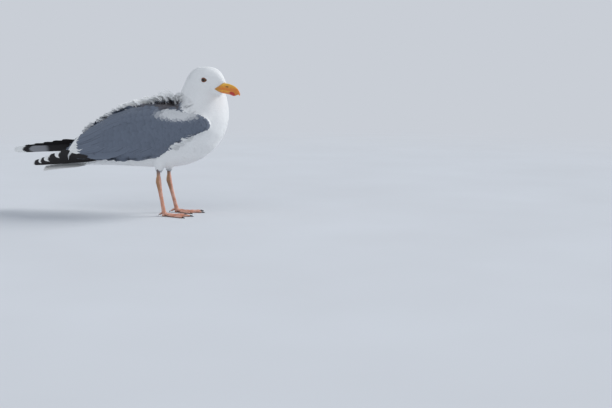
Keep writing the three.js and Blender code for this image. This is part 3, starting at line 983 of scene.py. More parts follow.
def unrolled(points: np.ndarray, centre: np.ndarray, axis: np.ndarray) -> np.ndarray:
    """Places on the skin unrolled about an axis through it, to fill a square.

    Args:
        points: The places.
        centre: A place on the axis.
        axis: The way of the axis.

    Returns:
        The turn round the axis and the way along it, each from 0 to 1.
    """
    axis = unit(axis)
    sideways = unit(np.cross(axis, np.array([0.1, 1.0, 0.05])))
    other = np.cross(axis, sideways)
    apart = points - centre
    turn = np.arctan2(apart @ sideways, apart @ other)
    flat = np.stack([turn, apart @ axis], 1)
    low, high = flat.min(axis=0), flat.max(axis=0)
    return MARGIN + (1 - 2 * MARGIN) * (flat - low) / (high - low)


@dataclass(frozen=True)
class Coat:
    """The small feathers of one part of the bird, as one piece."""

    name: str
    nodes: tuple[str, ...]
    slot: str
    axis: tuple[float, float, float]
    seed: int
    closeness: float = 0.27  # the spacing of the roots, as a share of the feathers' length
    form: VaneForm = field(default_factory=VaneForm)
    sharpest: float = -1.0

    def build(
        self, surface: Surface, labels: np.ndarray, plumage: Plumage, finish: bpy.types.Material
    ) -> None:
        """Grows the feathers.

        Args:
            surface: The skin.
            labels: The number in FLESH of the CAD node that each face of the skin belongs to.
            plumage: The lie of the feathers here.
            finish: The material of the plumage.
        """
        own = np.isin(labels, [FLESH.index(node) for node in self.nodes])
        spacing = np.where(own, plumage.length(surface.middles) * self.closeness, 0)
        roots, normals = surface.scatter(spacing, self.seed)
        tips = roots + plumage.heading(roots) * plumage.length(roots)[:, None]
        keep = ~(MARKINGS.bare(roots) | MARKINGS.bare(tips))
        roots, normals = roots[keep], normals[keep]
        vanes = Vanes(
            roots,
            normals,
            plumage.heading(roots),
            plumage.length(roots),
            plumage.depth(roots),
            MARKINGS.grey(roots, "wing" in self.name, self.seed),
            self.form,
            self.sharpest,
        )
        corners, marks, patches = vanes.lay(surface, plumage, self.seed)
        faces = spindle_faces(len(self.form.rows), len(self.form.section), len(roots))
        piece = object_of(self.name, corners.reshape(-1, 3), faces)
        select_only(piece)
        bpy.ops.object.shade_smooth_by_angle(angle=math.radians(CREASE))
        paint(piece, "plume", marks.reshape(-1, 4))
        spots = unrolled(roots, roots.mean(axis=0), np.array(self.axis, float))
        map_uv(piece, "OFBake", (spots[:, None] + patches[None]).reshape(-1, 2))
        dress(piece, finish)


COATS = [
    Coat("coat_head", ("head",), "plumage_body", (1, -0.6, 0), 11, 0.24, FLUFF),
    Coat("coat_neck", ("neck",), "plumage_body", (0, 0, 1), 12),
    Coat("coat_body", ("trunk", "thigh_right", "thigh_left"), "plumage_body", (1, 0, 0.3), 13),
    Coat("coat_wing_right", ("wing_right",), "plumage_wing", (1, 0, 0.3), 14, 0.3, SHINGLE, 0.35),
    Coat("coat_wing_left", ("wing_left",), "plumage_wing", (1, 0, 0.3), 15, 0.3, SHINGLE, 0.35),
]


# ---- large feathers -------------------------------------------------------------------------------------


@dataclass(frozen=True)
class Quill:
    """One large feather.

    Each station of its shaft has shares of the box of its CAD node, with y from the outer side, and how far
    it stands off the skin there, or None where it is free of the skin. It is given as on the right side.
    """

    shaft: tuple[tuple[float, float, float, float | None], ...]
    face: tuple[float, float, float]  # the way that its upper side looks where it is free of the skin
    wide: tuple[float, float]  # its vanes to either side of the shaft
    blunt: float = 0.2  # the share of its length over which its tip rounds off
    white: float = 0.0  # the share of its length that is white at the tip
    dark: float = 2.0  # the share of its length past which it is dark
    mirror: tuple[float, float] = (3.0, 3.0)  # where the mirror begins and ends: a white patch in the dark, painted grey with shade


@dataclass(frozen=True)
class QuillSet:
    """Large feathers of one kind on one side, joined into one piece."""

    name: str
    node: str
    sides: tuple[str, ...]
    quills: tuple[Quill, ...]
    slot: str
    stands_for: tuple[str, ...] = ()
    seed: int = 31
    stations: int = 26  # from root to tip
    columns: tuple = (-1, -0.75, -0.4, -0.06, 0.06, 0.4, 0.75, 1)  # across it, in shares of each vane
    camber: float = 0.09  # how much the vanes fall away to their edges
    shaft_height: float = 0.45
    thickness: float = 0.32
    crease: float = 50.0  # it is shaded smooth over edges up to this many degrees
    crowding: float = 1.4  # how much the stations crowd towards the tip
    root: tuple = (0.3, 0.25)  # how wide it is at its root, and how far along it is whole
    fraying: float = 0.05  # how ragged its edges are
    slant: float = 0.12  # how far its edges run ahead of its shaft
    strip: int = 4  # its place on the bake map is this many times as long as wide
    margin: float = 0.04  # how much of that is left free at each side

    def build(self, surface: Surface, finish: bpy.types.Material) -> None:
        """Makes the feathers.

        Args:
            surface: The skin that they lie on.
            finish: Their material.
        """
        rng = np.random.default_rng(self.seed)
        made = [self.loft(quill, SIDES[side], surface, rng) for side in self.sides for quill in self.quills]
        points, vane, marks = (np.concatenate(rows) for rows in zip(*made))
        around = 2 * len(self.columns)
        piece = object_of(self.name, points, self.faces(len(made), around))
        face_outwards(piece)
        bpy.ops.object.shade_smooth_by_angle(angle=math.radians(self.crease))
        paint(piece, "quill", marks)
        map_uv(piece, "Vane", vane)
        per_row = math.ceil(math.sqrt(self.strip * len(made)))
        cell = np.repeat(np.arange(len(made)), self.stations * around)
        rows = math.ceil(len(made) / per_row)
        corner = np.stack([cell % per_row, cell // per_row], 1) + self.margin
        map_uv(piece, "OFBake", (corner + (1 - 2 * self.margin) * vane) / (per_row, rows))
        dress(piece, finish, self.stands_for)

    def faces(self, count: int, around: int) -> list[np.ndarray]:
        """The faces of the feathers: quads round the rings, and quads that close each end.

        Args:
            count: How many feathers.
            around: How many points there are round each of their stations.

        Returns:
            The vertex numbers.
        """
        quads = ring_quads(self.stations, around)
        for start in (0, (self.stations - 1) * around):
            for j in range(around // 2 - 1):
                quads.append((start + j, start + j + 1, start + around - 2 - j, start + around - 1 - j))
        start = np.arange(count)[:, None, None] * (self.stations * around)
        return [(start + np.array(quads)).reshape(-1, 4)]

    def loft(
        self, quill: Quill, side: int, surface: Surface, rng: np.random.Generator
    ) -> tuple[np.ndarray, np.ndarray, np.ndarray]:
        """One feather.

        Args:
            quill: Its shape.
            side: -1 on the right side of the bird, 1 on the left.
            surface: The skin.
            rng: The draw of its frayed edge.

        Returns:
            Its vertices, their places on the vane, and its marks at each.
        """
        shares = np.array([station[:3] for station in quill.shaft])
        if side == SIDES["left"]:
            shares[:, 1] = 1 - shares[:, 1]
        low, high = node_box(self.node)
        rows = low + (high - low) * shares
        lifts = [station[3] for station in quill.shaft]
        on_skin, normals = surface.snap(rows)
        face = unit(np.array(quill.face) * (1, -side, 1))
        for k, lift in enumerate(lifts):
            if lift is None:
                normals[k] = face
            else:
                rows[k] = on_skin[k] + normals[k] * lift
        share = 1 - (1 - np.linspace(0, 1, self.stations)) ** self.crowding
        line, face = through(rows, share), unit(through(normals, share))
        ahead = unit(np.gradient(line, axis=0))
        face = unit(face - (face * ahead).sum(axis=1, keepdims=True) * ahead)
        across = np.cross(face, ahead) * -side
        narrow, whole_at = self.root
        grown = narrow + (1 - narrow) * ramp(share, 0, whole_at)
        near_tip = np.clip((share - 1 + quill.blunt) / quill.blunt, 0, 1)
        rounding = np.sqrt(np.maximum(1 - near_tip**2.4, 0.0009))
        frayed = 1 - self.fraying * rng.random(self.stations)
        columns = np.array(self.columns)
        reach = np.where(columns > 0, columns * quill.wide[0], columns * quill.wide[1])
        off = reach[None] * (grown * rounding * frayed)[:, None]
        ridge = self.shaft_height * (np.abs(columns) < 0.1) * (1 - 0.7 * share[:, None])
        top = ridge - self.camber * np.abs(off) * np.abs(columns)
        under = top - ridge - self.thickness * (1.15 - np.abs(columns)) * (1 - 0.5 * share[:, None])
        slant = self.slant * np.abs(off) * ramp(share, 1.0, 0.8)[:, None]
        flat = line[:, None] + across[:, None] * off[..., None] + ahead[:, None] * slant[..., None]
        upper, lower = (flat + face[:, None] * height[..., None] for height in (top, under))
        points = np.concatenate([upper, lower[:, ::-1]], axis=1).reshape(-1, 3)
        u = np.concatenate([columns, columns[::-1]]) / 2 + 0.5
        vane = np.stack([np.tile(u, self.stations), np.repeat(share, len(u))], 1)
        marks = (quill.white, quill.dark, *quill.mirror)
        return points, vane, np.tile(marks, (len(points), 1))


def blend(first: object, last: object, share: float) -> object:
    """A number, or a tuple of numbers, between two others. None stays None.

    Args:
        first: What it is at share 0.
        last: What it is at share 1.
        share: The way from the first to the last.

    Returns:
        The number or the tuple.
    """
    if first is None:
        return None
    if isinstance(first, tuple):
        return tuple(blend(a, b, share) for a, b in zip(first, last))
    return first + (last - first) * share


def spread(first: Quill, last: Quill, count: int) -> tuple[Quill, ...]:
    """Evenly stepped feathers from the first to the last.

    Args:
        first: The first feather.
        last: The last feather.
        count: How many there are.

    Returns:
        All of them.
    """
    names = [part.name for part in fields(Quill)]
    return tuple(
        Quill(**{name: blend(getattr(first, name), getattr(last, name), k / (count - 1)) for name in names})
        for k in range(count)
    )


def free(*stations: tuple[float, float, float]) -> tuple[tuple[float, float, float, None], ...]:
    """The stations of a shaft that is free of the skin all along."""
    return tuple((*station, None) for station in stations)


OUTWARDS = (0.0, -0.95, 0.3)
SPOTS_RIGHT = (0.03, 0.055, 0.1, 0.01, 0.12, 0.01)  # the white of each wing-tip feather, worn unevenly
PRIMARIES_RIGHT = tuple(
    replace(quill, white=white)
    for quill, white in zip(
        spread(
            Quill(
                free((0.95, 0.13, 0.55), (0.63, 0.34, 0.4), (0.31, 0.65, 0.24), (0, 0.95, 0.1)),
                OUTWARDS, (4.5, 9.0), blunt=0.13, dark=-0.2,
            ),
            Quill(
                free((0.95, -0.02, 0.72), (0.74, 0.1, 0.7), (0.54, 0.3, 0.75), (0.39, 0.48, 0.85)),
                OUTWARDS, (7.0, 7.5), blunt=0.2, dark=-0.2,
            ),
            len(SPOTS_RIGHT),
        ),
        SPOTS_RIGHT,
    )
)
PRIMARIES_LEFT = (
    Quill(
        free((0.98, 0.36, 0.57), (0.67, 0.53, 0.43), (0.32, 0.79, 0.34), (0, 0.99, 0.25)),
        OUTWARDS, (6.0, 8.5), 0.14, 0.15, -0.2, (0.52, 0.76),
    ),
    *spread(
        Quill(
            free((0.98, 0.29, 0.62), (0.71, 0.45, 0.5), (0.4, 0.68, 0.45), (0.13, 0.86, 0.4)),
            OUTWARDS, (6.0, 8.5), 0.14, 0.05, -0.2,
        ),
        Quill(
            free((0.98, 0.06, 0.8), (0.87, 0.14, 0.82), (0.78, 0.26, 0.86), (0.66, 0.4, 0.87)),
            OUTWARDS, (8.0, 8.0), 0.2, 0.04, -0.2,
        ),
        5,
    ),
)
TERTIALS = spread(
    Quill(
        ((0.36, 0.36, 0.67, 2.0), (0.22, 0.39, 0.46, 3.0), (0.13, 0.5, 0.35, 3.6), (0.07, 0.58, 0.29, 4.0)),
        OUTWARDS, (11.0, 12.0), 0.22, 0.2,
    ),
    Quill(
        ((0.37, 0.14, 0.2, 1.5), (0.24, 0.28, 0.12, 2.0), (0.12, 0.41, 0.07, 2.4), (0.03, 0.5, 0.04, 2.6)),
        OUTWARDS, (9.0, 12.0), 0.22, 0.34,
    ),
    6,
)
SECONDARIES = spread(
    Quill(((0.51, 0.13, 0.29, 1.0), *free((0.39, 0.2, 0.14), (0.275, 0.28, 0.06))), OUTWARDS, (9, 9), 0.3),
    Quill(((0.3, 0.25, 0.22, 1.0), *free((0.2, 0.33, 0.1), (0.1, 0.41, 0.075))), OUTWARDS, (9, 9), 0.3),
    7,
)
COVERTS = spread(
    Quill(((0.74, 0.12, 0.42, 0.6), (0.64, 0.14, 0.25, 1.6), (0.55, 0.18, 0.14, 1.9)), OUTWARDS, (9, 9), 0.3),
    Quill(((0.24, 0.3, 0.4, 1.0), (0.16, 0.33, 0.2, 2.0), (0.09, 0.4, 0.11, 2.4)), OUTWARDS, (9, 9), 0.3),
    13,
)
SCAPULARS = (
    *spread(
        Quill(
            ((0.36, 0.87, 0.83, 0.8), (0.28, 0.9, 0.72, 1.8), (0.2, 0.92, 0.62, 2.6)),
            OUTWARDS, (9, 9), 0.35,
        ),
        Quill(
            ((0.36, 0.33, 0.66, 0.8), (0.27, 0.38, 0.54, 2), (0.18, 0.44, 0.44, 2.8)),
            OUTWARDS, (9, 9), 0.35,
        ),
        6,
    ),
    *spread(
        Quill(
            ((0.46, 0.89, 0.93, 1.5), (0.38, 0.91, 0.87, 3), (0.3, 0.93, 0.78, 4.8)),
            OUTWARDS, (8, 8), 0.35,
        ),
        Quill(
            ((0.48, 0.3, 0.76, 1.2), (0.39, 0.33, 0.67, 2.2), (0.29, 0.37, 0.56, 3.2)),
            OUTWARDS, (9, 9), 0.35,
        ),
        7,
    ),
)
RECTRICES = spread(
    Quill(free((0.98, 0.1, 0.55), (0.53, 0.12, 0.36), (0.05, 0.14, 0.1)), (0, -0.25, 1), (7, 10), 0.09),
    Quill(free((0.98, 0.45, 0.92), (0.53, 0.44, 0.68), (0.01, 0.42, 0.36)), (0, -0.02, 1), (9, 9), 0.1),
    6,
)
WING_QUILLS = {"tertials": TERTIALS, "secondaries": SECONDARIES, "coverts": COVERTS, "scapulars": SCAPULARS}


class QuillKind(Enum):
    """Which finish a set of large feathers takes."""

    BLACK = "black"
    GREY = "grey"
    WHITE = "white"


def quill_sets() -> list[tuple[QuillSet, QuillKind]]:
    """The sets of large feathers, each with the kind of its finish.

    Returns:
        The tail's, then the right wing's and the left wing's.
    """
    tail = QuillSet("tail_feathers", "tail", tuple(SIDES), RECTRICES, "plumage_tail", ("tail",))
    sets = [(tail, QuillKind.WHITE)]
    for side, primaries in (("right", PRIMARIES_RIGHT), ("left", PRIMARIES_LEFT)):
        bundle = f"primaries_{side}"
        tip = QuillSet(f"tip_{side}", bundle, (side,), primaries, "plumage_wing_tip", (bundle,))
        sets.append((tip, QuillKind.BLACK))
        for name, quills in WING_QUILLS.items():
            made = QuillSet(f"{name}_{side}", f"wing_{side}", (side,), quills, "plumage_wing")
            sets.append((made, QuillKind.GREY))
    return sets


# ---- lifted feathers ------------------------------------------------------------------------------------

ROOTED = 1.5  # how deep the foot of a feather is in the skin
NO_SHADE = -99  # moves the edge of the painted shade on the roots down past every feather


@dataclass(frozen=True)
class Fringe:
    """A row of loose feathers along a parting in the plumage, on one side of the bird.

    Its roots and tips are given at places along the row, as shares of a CAD node's box, with y from the outer
    side.
    """

    node: str
    side: str
    roots: tuple
    tips: tuple
    count: int
    lift: float  # how far their middles stand off the skin
    wide: float  # half of their width
    grey: float = 0.0  # how grey they are at the root
    loose: float = 1.2  # how far their roots and tips stray from the row

    def lines(self, surface: Surface, rng: np.random.Generator) -> tuple[np.ndarray, ...]:
        """The feathers of the row.

        Args:
            surface: The skin.
            rng: The draw of their places and sizes.

        Returns:
            Their feet, knees, tips, faces, half widths and greys.
        """
        low, high = node_box(self.node)
        at = np.sort(rng.random(self.count))
        ends = []
        for rows in (self.roots, self.tips):
            places = through(rows, at)
            if self.side == "left":
                places[:, 1] = 1 - places[:, 1]
            ends.append(low + (high - low) * places + rng.normal(0, self.loose, (self.count, 3)))
        feet, normals = surface.snap(ends[0])
        feet = feet - normals * ROOTED
        knees = (feet + ends[1]) / 2 + normals * (self.lift * rng.uniform(0.7, 1.2, self.count))[:, None]
        wide = self.wide * rng.uniform(0.8, 1.15, self.count)
        grey = self.grey * rng.uniform(0.6, 1.0, self.count)
        return feet, knees, ends[1], unit(normals + (0.5, 0, 0.8)), wide, grey


NECK_ROOTS = ((0.19, 0.46, 0.97), (0.37, 0.3, 0.84), (0.5, 0.15, 0.69), (0.6, 0.04, 0.39))
NECK_TIPS = ((0.04, 0.46, 0.88), (0.22, 0.27, 0.74), (0.35, 0.1, 0.58), (0.46, 0.0, 0.26))
RIDGE_ROOTS = (
    (0.42, 0.95, 0.93), (0.34, 0.95, 0.8), (0.27, 0.95, 0.67), (0.19, 0.95, 0.56), (0.14, 0.94, 0.43),
)
RIDGE_TIPS = (
    (0.37, 0.95, 0.96), (0.29, 0.95, 0.83), (0.22, 0.95, 0.71), (0.14, 0.95, 0.58), (0.09, 0.92, 0.43),
)
FRINGES = (
    Fringe("wing_right", "right", RIDGE_ROOTS, RIDGE_TIPS, 36, 4.0, 4.5, 1.0),
    Fringe("wing_left", "left", RIDGE_ROOTS, RIDGE_TIPS, 26, 2.5, 4.5, 1.0),
    Fringe("neck", "right", NECK_ROOTS, NECK_TIPS, 34, 7.0, 5.0),
    Fringe("neck", "left", NECK_ROOTS, NECK_TIPS, 30, 3.5, 4.5),
    Fringe(
        "wing_right",
        "right",
        ((0.936, 0.25, 0.456), (0.89, 0.22, 0.34), (0.845, 0.22, 0.255), (0.8, 0.28, 0.18)),
        ((0.88, 0.13, 0.48), (0.84, 0.1, 0.4), (0.797, 0.11, 0.32), (0.76, 0.16, 0.25)),
        14,
        2.5,
        4.0,
    ),
)


@dataclass(frozen=True)
class Crest:
    """Feathers that the wind has lifted along the ridge of the back and round the neck's foot.

    Each is a curved shaft with separate barbs to either side of it. Those of the ridge have painted shade on
    their roots and loose white tips. Heights are shares of the crest's box, at equal steps from its back to its
    front.
    """

    count: int = 88
    barbs: int = 25
    rings: int = 2
    half_barb: float = 0.85
    wide: float = 5.5
    tops: tuple = ((0.3,), (0.42,), (0.52,), (0.6,), (0.69,), (0.74,), (0.84,), (0.77,), (0.62,))
    shades: tuple = ((0.16,), (0.2,), (0.28,), (0.37,), (0.43,), (0.47,), (0.51,), (0.56,), (0.53,))
    stretch: tuple = (-0.02, 0.93)  # where along the crest's box they stand
    highest_foot: float = 0.45  # those that would stand higher in the box are left out
    lean: float = -15.0  # how far ahead of their feet their tips are
    streaked: float = 0.14  # the share of the feathers whose painted shade ends lower
    streak: float = 9.0  # by this much
    wisps: tuple = ((0.93, -0.1, 1.0), (0.92, 0.1, 0.97), (0.9, 0, 0.93))  # along, across, height
    wisp_wide: float = 2.0
    seed: int = 41

    def build(self, surface: Surface, finish: bpy.types.Material) -> None:
        """Makes the feathers.

        Args:
            surface: The skin that they stand on.
            finish: The material of the plumage.
        """
        rng = np.random.default_rng(self.seed)
        ridge = self.ridge(surface, rng)
        parts = [ridge, *(fringe.lines(surface, rng) for fringe in FRINGES)]
        feet, knees, tips, faces, wide, tint = (np.concatenate(rows) for rows in zip(*parts))
        points, vane = self.grown((feet, knees, tips), faces, wide, rng)
        count, each = len(feet), 2 * self.barbs
        on_ridge = np.arange(count) < len(ridge[0])
        shade = np.repeat(np.where(on_ridge, rng.normal(0, 1.2, count), NO_SHADE), each)
        streak = np.repeat(rng.random(count) < self.streaked, each)
        # painted shade on the roots of the ridge's feathers, in the hollow under the crest
        grey = self.dark(points, shade - self.streak * streak)
        grey += np.repeat(tint, each)[:, None] * ramp(vane[..., 1], 0.85, 0.35)
        chance = np.repeat(rng.random(count), each)[:, None] + 0 * grey
        marks = np.stack([grey, vane[..., 1], chance, vane[..., 0] + 0.5], 2)
        piece = object_of("crest_tufts", points.reshape(-1, 3), spindle_faces(self.rings, 4, len(points)))
        select_only(piece)
        bpy.ops.object.shade_smooth_by_angle(angle=math.radians(CREASE))
        paint(piece, "plume", marks.reshape(-1, 4))
        spots = np.repeat(unrolled(feet, feet.mean(axis=0), np.array([1.0, 0, 0])), each, axis=0)
        map_uv(piece, "OFBake", (spots[:, None] + (vane - (0, 0.5)) * PATCH).reshape(-1, 2))
        dress(piece, finish, ("crest",))

    def dark(self, points: np.ndarray, shift: np.ndarray) -> np.ndarray:
        """The mark of the painted shade on the roots: 2 below its edge, and 0 above it.

        Args:
            points: The vertices of each barb.
            shift: How far up the edge is moved for each barb.

        Returns:
            The mark at each vertex.
        """
        low, high = node_box("crest")
        share = (points[..., 0] - low[0]) / (high[0] - low[0])
        edge = low[2] + (high[2] - low[2]) * through(self.shades, share)[..., 0] + shift[:, None]
        return 2 * ramp(points[..., 2] - edge, 1.0, -2.0)

    def ridge(self, surface: Surface, rng: np.random.Generator) -> tuple[np.ndarray, ...]:
        """The feathers along the back.

        Args:
            surface: The skin.
            rng: The draw of their places and sizes.

        Returns:
            Their feet, knees, tips, faces, half widths and greys.
        """
        low, high = node_box("crest")
        along = rng.uniform(*self.stretch, self.count)
        across = rng.uniform(-1, 1, self.count)
        top = through(self.tops, along)[:, 0] * rng.uniform(0.84, 1.0, self.count) - 0.08 * across**2
        wide = self.wide * rng.uniform(0.75, 1.1, self.count)
        first = slice(0, len(self.wisps))
        along[first], across[first], top[first] = np.transpose(self.wisps)
        wide[first] = self.wisp_wide
        hits = [
            surface.hit((low[0] + (high[0] - low[0]) * x, y * high[1], high[2] + 50), (0, 0, -1))
            for x, y in zip(along, across)
        ]
        feet = np.array([hit[0] for hit in hits])
        keep = feet[:, 2] < low[2] + (high[2] - low[2]) * self.highest_foot
        feet, top, wide, wisp = (part[keep] for part in (feet, top, wide, wide == self.wisp_wide))
        tall = low[2] + (high[2] - low[2]) * top - feet[:, 2]
        lean = self.lean * np.where(wisp, 1.7, rng.uniform(0.6, 1.25, len(feet)))
        spreading = feet[:, 1] * 0.35 + rng.normal(0, 1.5, len(feet))
        tips = feet + np.stack([lean, spreading, tall], 1)
        knees = feet + np.stack([2.0 + 0 * tall, 0.2 * spreading, np.where(wisp, 0.6, 0.95) * tall], 1)
        faces = np.array([0.5, -0.5, 0.75]) + rng.normal(0, 0.25, feet.shape)
        return feet - (0, 0, ROOTED), knees, tips, unit(faces), wide, 0 * wide

    def grown(
        self, line: tuple[np.ndarray, ...], faces: np.ndarray, wide: np.ndarray, rng: np.random.Generator
    ) -> tuple[np.ndarray, np.ndarray]:
        """The barbs of all the feathers.

        Args:
            line: The feet, knees and tips of the shafts.
            faces: The way that each feather's upper side looks.
            wide: Half the width of each feather.
            rng: The draw of their small differences.

        Returns:
            A row of vertices for each barb, and their places on the vane: across from -0.5, and along from 0.
        """
        feet, knees, tips = (part[:, None] for part in line)
        t = np.linspace(0.05, 0.98, self.barbs)[:, None]
        shaft = feet * (1 - t) ** 2 + 2 * knees * t * (1 - t) + tips * t**2
        ahead = unit((knees - feet) * (1 - t) + (tips - knees) * t)
        face = faces[:, None] + 0 * ahead
        face = unit(face - (face * ahead).sum(axis=2, keepdims=True) * ahead)
        aside = np.cross(ahead, face)
        sides = np.array([-1.0, 1.0])[:, None]
        shaft, ahead, face, aside = (part[:, :, None] for part in (shaft, ahead, face, aside))
        stray = rng.normal(0, 0.1, (len(faces), self.barbs, 2, 3))
        way = unit(aside * sides * 0.6 + ahead * (0.7 + 0.5 * t[:, None]) - face * 0.15 + stray)
        full = np.sin(math.pi * (0.12 + 0.78 * t[:, 0])) ** 0.7
        long = 1.5 * wide[:, None, None] * full[:, None] * rng.uniform(0.8, 1.15, stray.shape[:3])
        flat = np.cross(way, face)
        r = np.linspace(0, 1, self.rings + 1)[:, None, None, None, None]
        reach = long[..., None] * r
        centre = shaft + way * reach + (ahead * 0.35 - face * 0.12) * reach * r
        half = self.half_barb * (1 - r**3) * (0.7 + 0.5 * r)
        body = slice(0, self.rings)
        ring = [
            centre[body] + side * flat * half[body] + up * face
            for side, up in ((-1, 0), (0, 0.1), (1, 0), (0, -0.1))
        ]
        rows = np.stack(ring, 1).reshape(4 * self.rings, -1, 3)
        points = np.concatenate([rows, centre[-1].reshape(1, -1, 3)]).transpose(1, 0, 2)
        out = np.append(np.repeat(r[:-1].ravel(), 4), 1.0)
        skew = np.append(np.tile([-1, 0, 1, 0], self.rings), 0) * 0.5 / self.barbs
        side = np.tile([-0.5, 0.5], len(faces) * self.barbs)
        along = np.tile(np.repeat(t[:, 0], 2), len(faces))
        return points, np.stack([side[:, None] * out, along[:, None] + 0.08 * out + skew], 2)


# ---- shaped pieces --------------------------------------------------------------------------------------


def shaped_ball(name: str, segments: int, rings: int, place: Callable) -> bpy.types.Object:
    """A closed piece whose rings follow a function: a ball that is drawn out of shape.

    Args:
        name: The piece's name.
        segments: Points round each ring.
        rings: Rings from end to end.
        place: Takes shares from 0 at one end to 1 at the other, and turns in radians, and gives the places.

    Returns:
        The piece, with its faces outwards.
    """
    select_none()
    bpy.ops.mesh.primitive_uv_sphere_add(segments=segments, ring_count=rings, radius=1)
    piece = bpy.context.active_object
    piece.name = name
    x, y, z = (points_of(piece) * MM).T
    shares = 1 - np.arccos(np.clip(z, -1, 1)) / math.pi
    move_points(piece, place(shares, np.arctan2(y, x)))
    face_outwards(piece)
    bpy.ops.object.shade_smooth()
    return piece


@dataclass(frozen=True)
class Eye:
    """One eye with the bare ring and the lids around it."""

    side: str
    pupil: float = 3.3  # radii, in millimetres
    iris: float = 5.2
    bulge: float = 0.35
    ring_long: float = 5.3  # half the opening along the head, and up and down
    ring_high: float = 3.5
    ring_thick: float = 0.72
    forward: float = 0.38  # how far the eye looks ahead and up, as the side of the head does
    upward: float = 0.08
    mark_reach: float = 10.0  # the distance from its middle that its painted mark gives as 1

    def build(self, ball_finish: bpy.types.Material, ring_finish: bpy.types.Material) -> None:
        """Makes the eyeball and its ring.

        Args:
            ball_finish: The material of the eyeball.
            ring_finish: The material of the ring.
        """
        low, high = node_box(f"eye_{self.side}")
        self.ball((low + high) / 2, (high[2] - low[2]) / 2, ball_finish)
        self.ring((low + high) / 2, (high[2] - low[2]) / 2, ring_finish)

    def axes(self) -> np.ndarray:
        """Rows: along the head, up, and out of the head.

        Returns:
            The eye's own axes, as unit vectors.
        """
        a, b, c = HEAD.axes()
        out = unit(b * SIDES[self.side] + self.forward * a + self.upward * c)
        along = unit(a - (a @ out) * out)
        up = np.cross(out, along)
        return np.array([along, up * np.sign(up @ c), out])

    def ball(self, centre: np.ndarray, radius: float, finish: bpy.types.Material) -> None:
        """The eyeball, with a clear bulge over the iris.

        Args:
            centre: Its middle.
            radius: Its size.
            finish: Its material.
        """

        def place(share: np.ndarray, turn: np.ndarray) -> np.ndarray:
            """The places of the rings, which are a little further out over the iris."""
            off = (1 - share) * math.pi
            reach = radius + self.bulge * ramp(off, math.asin(self.iris / radius), 0)
            flat = np.stack([np.sin(off) * np.cos(turn), np.sin(off) * np.sin(turn), np.cos(off)], 1)
            return centre + (flat * reach[:, None]) @ self.axes()

        piece = shaped_ball(f"eyeball_{self.side}", 48, 32, place)
        aside = (points_of(piece) - centre) @ self.axes().T
        off = np.hypot(aside[:, 0], aside[:, 1])
        turn = np.arctan2(aside[:, 1], aside[:, 0]) / (2 * math.pi) + 0.5
        outer = (aside[:, 2] > 0).astype(float)
        paint(piece, "eye", np.stack([off / self.mark_reach, turn, outer, outer], 1))
        dress(piece, finish, (f"eye_{self.side}",))

    def ring(self, centre: np.ndarray, radius: float, finish: bpy.types.Material) -> None:
        """The bare ring, a little heavier above the eye, drawn to a corner fore and aft.

        Args:
            centre: The middle of the eyeball.
            radius: The eyeball's size.
            finish: The ring's material.
        """
        select_none()
        bpy.ops.mesh.primitive_torus_add(
            major_segments=64, minor_segments=14, major_radius=1, minor_radius=0.1, align="WORLD"
        )
        piece = bpy.context.active_object
        piece.name = f"eye_ring_{self.side}"
        x, y, z = (points_of(piece) * MM).T
        turn = np.arctan2(y, x)
        tube = (np.hypot(x, y) - 1) * 10
        thick = self.ring_thick * (1 + 0.35 * np.clip(np.sin(turn), 0, 1))
        corner = 1 + 0.06 * np.abs(np.cos(turn)) ** 6
        reach_a = (self.ring_long * corner + tube * thick) * np.cos(turn)
        reach_c = (self.ring_high + tube * thick * 1.3) * np.sin(turn)
        opening = np.hypot(self.ring_long * np.cos(turn), self.ring_high * np.sin(turn))
        on_ball = np.sqrt(np.maximum(radius**2 - opening**2, 1))
        out = on_ball + 0.15 + z * 10 * thick * 0.9 - 0.5 * tube * thick
        move_points(piece, centre + np.stack([reach_a, reach_c, out], 1) @ self.axes())
        face_outwards(piece)
        bpy.ops.object.shade_smooth()
        dress(piece, finish)


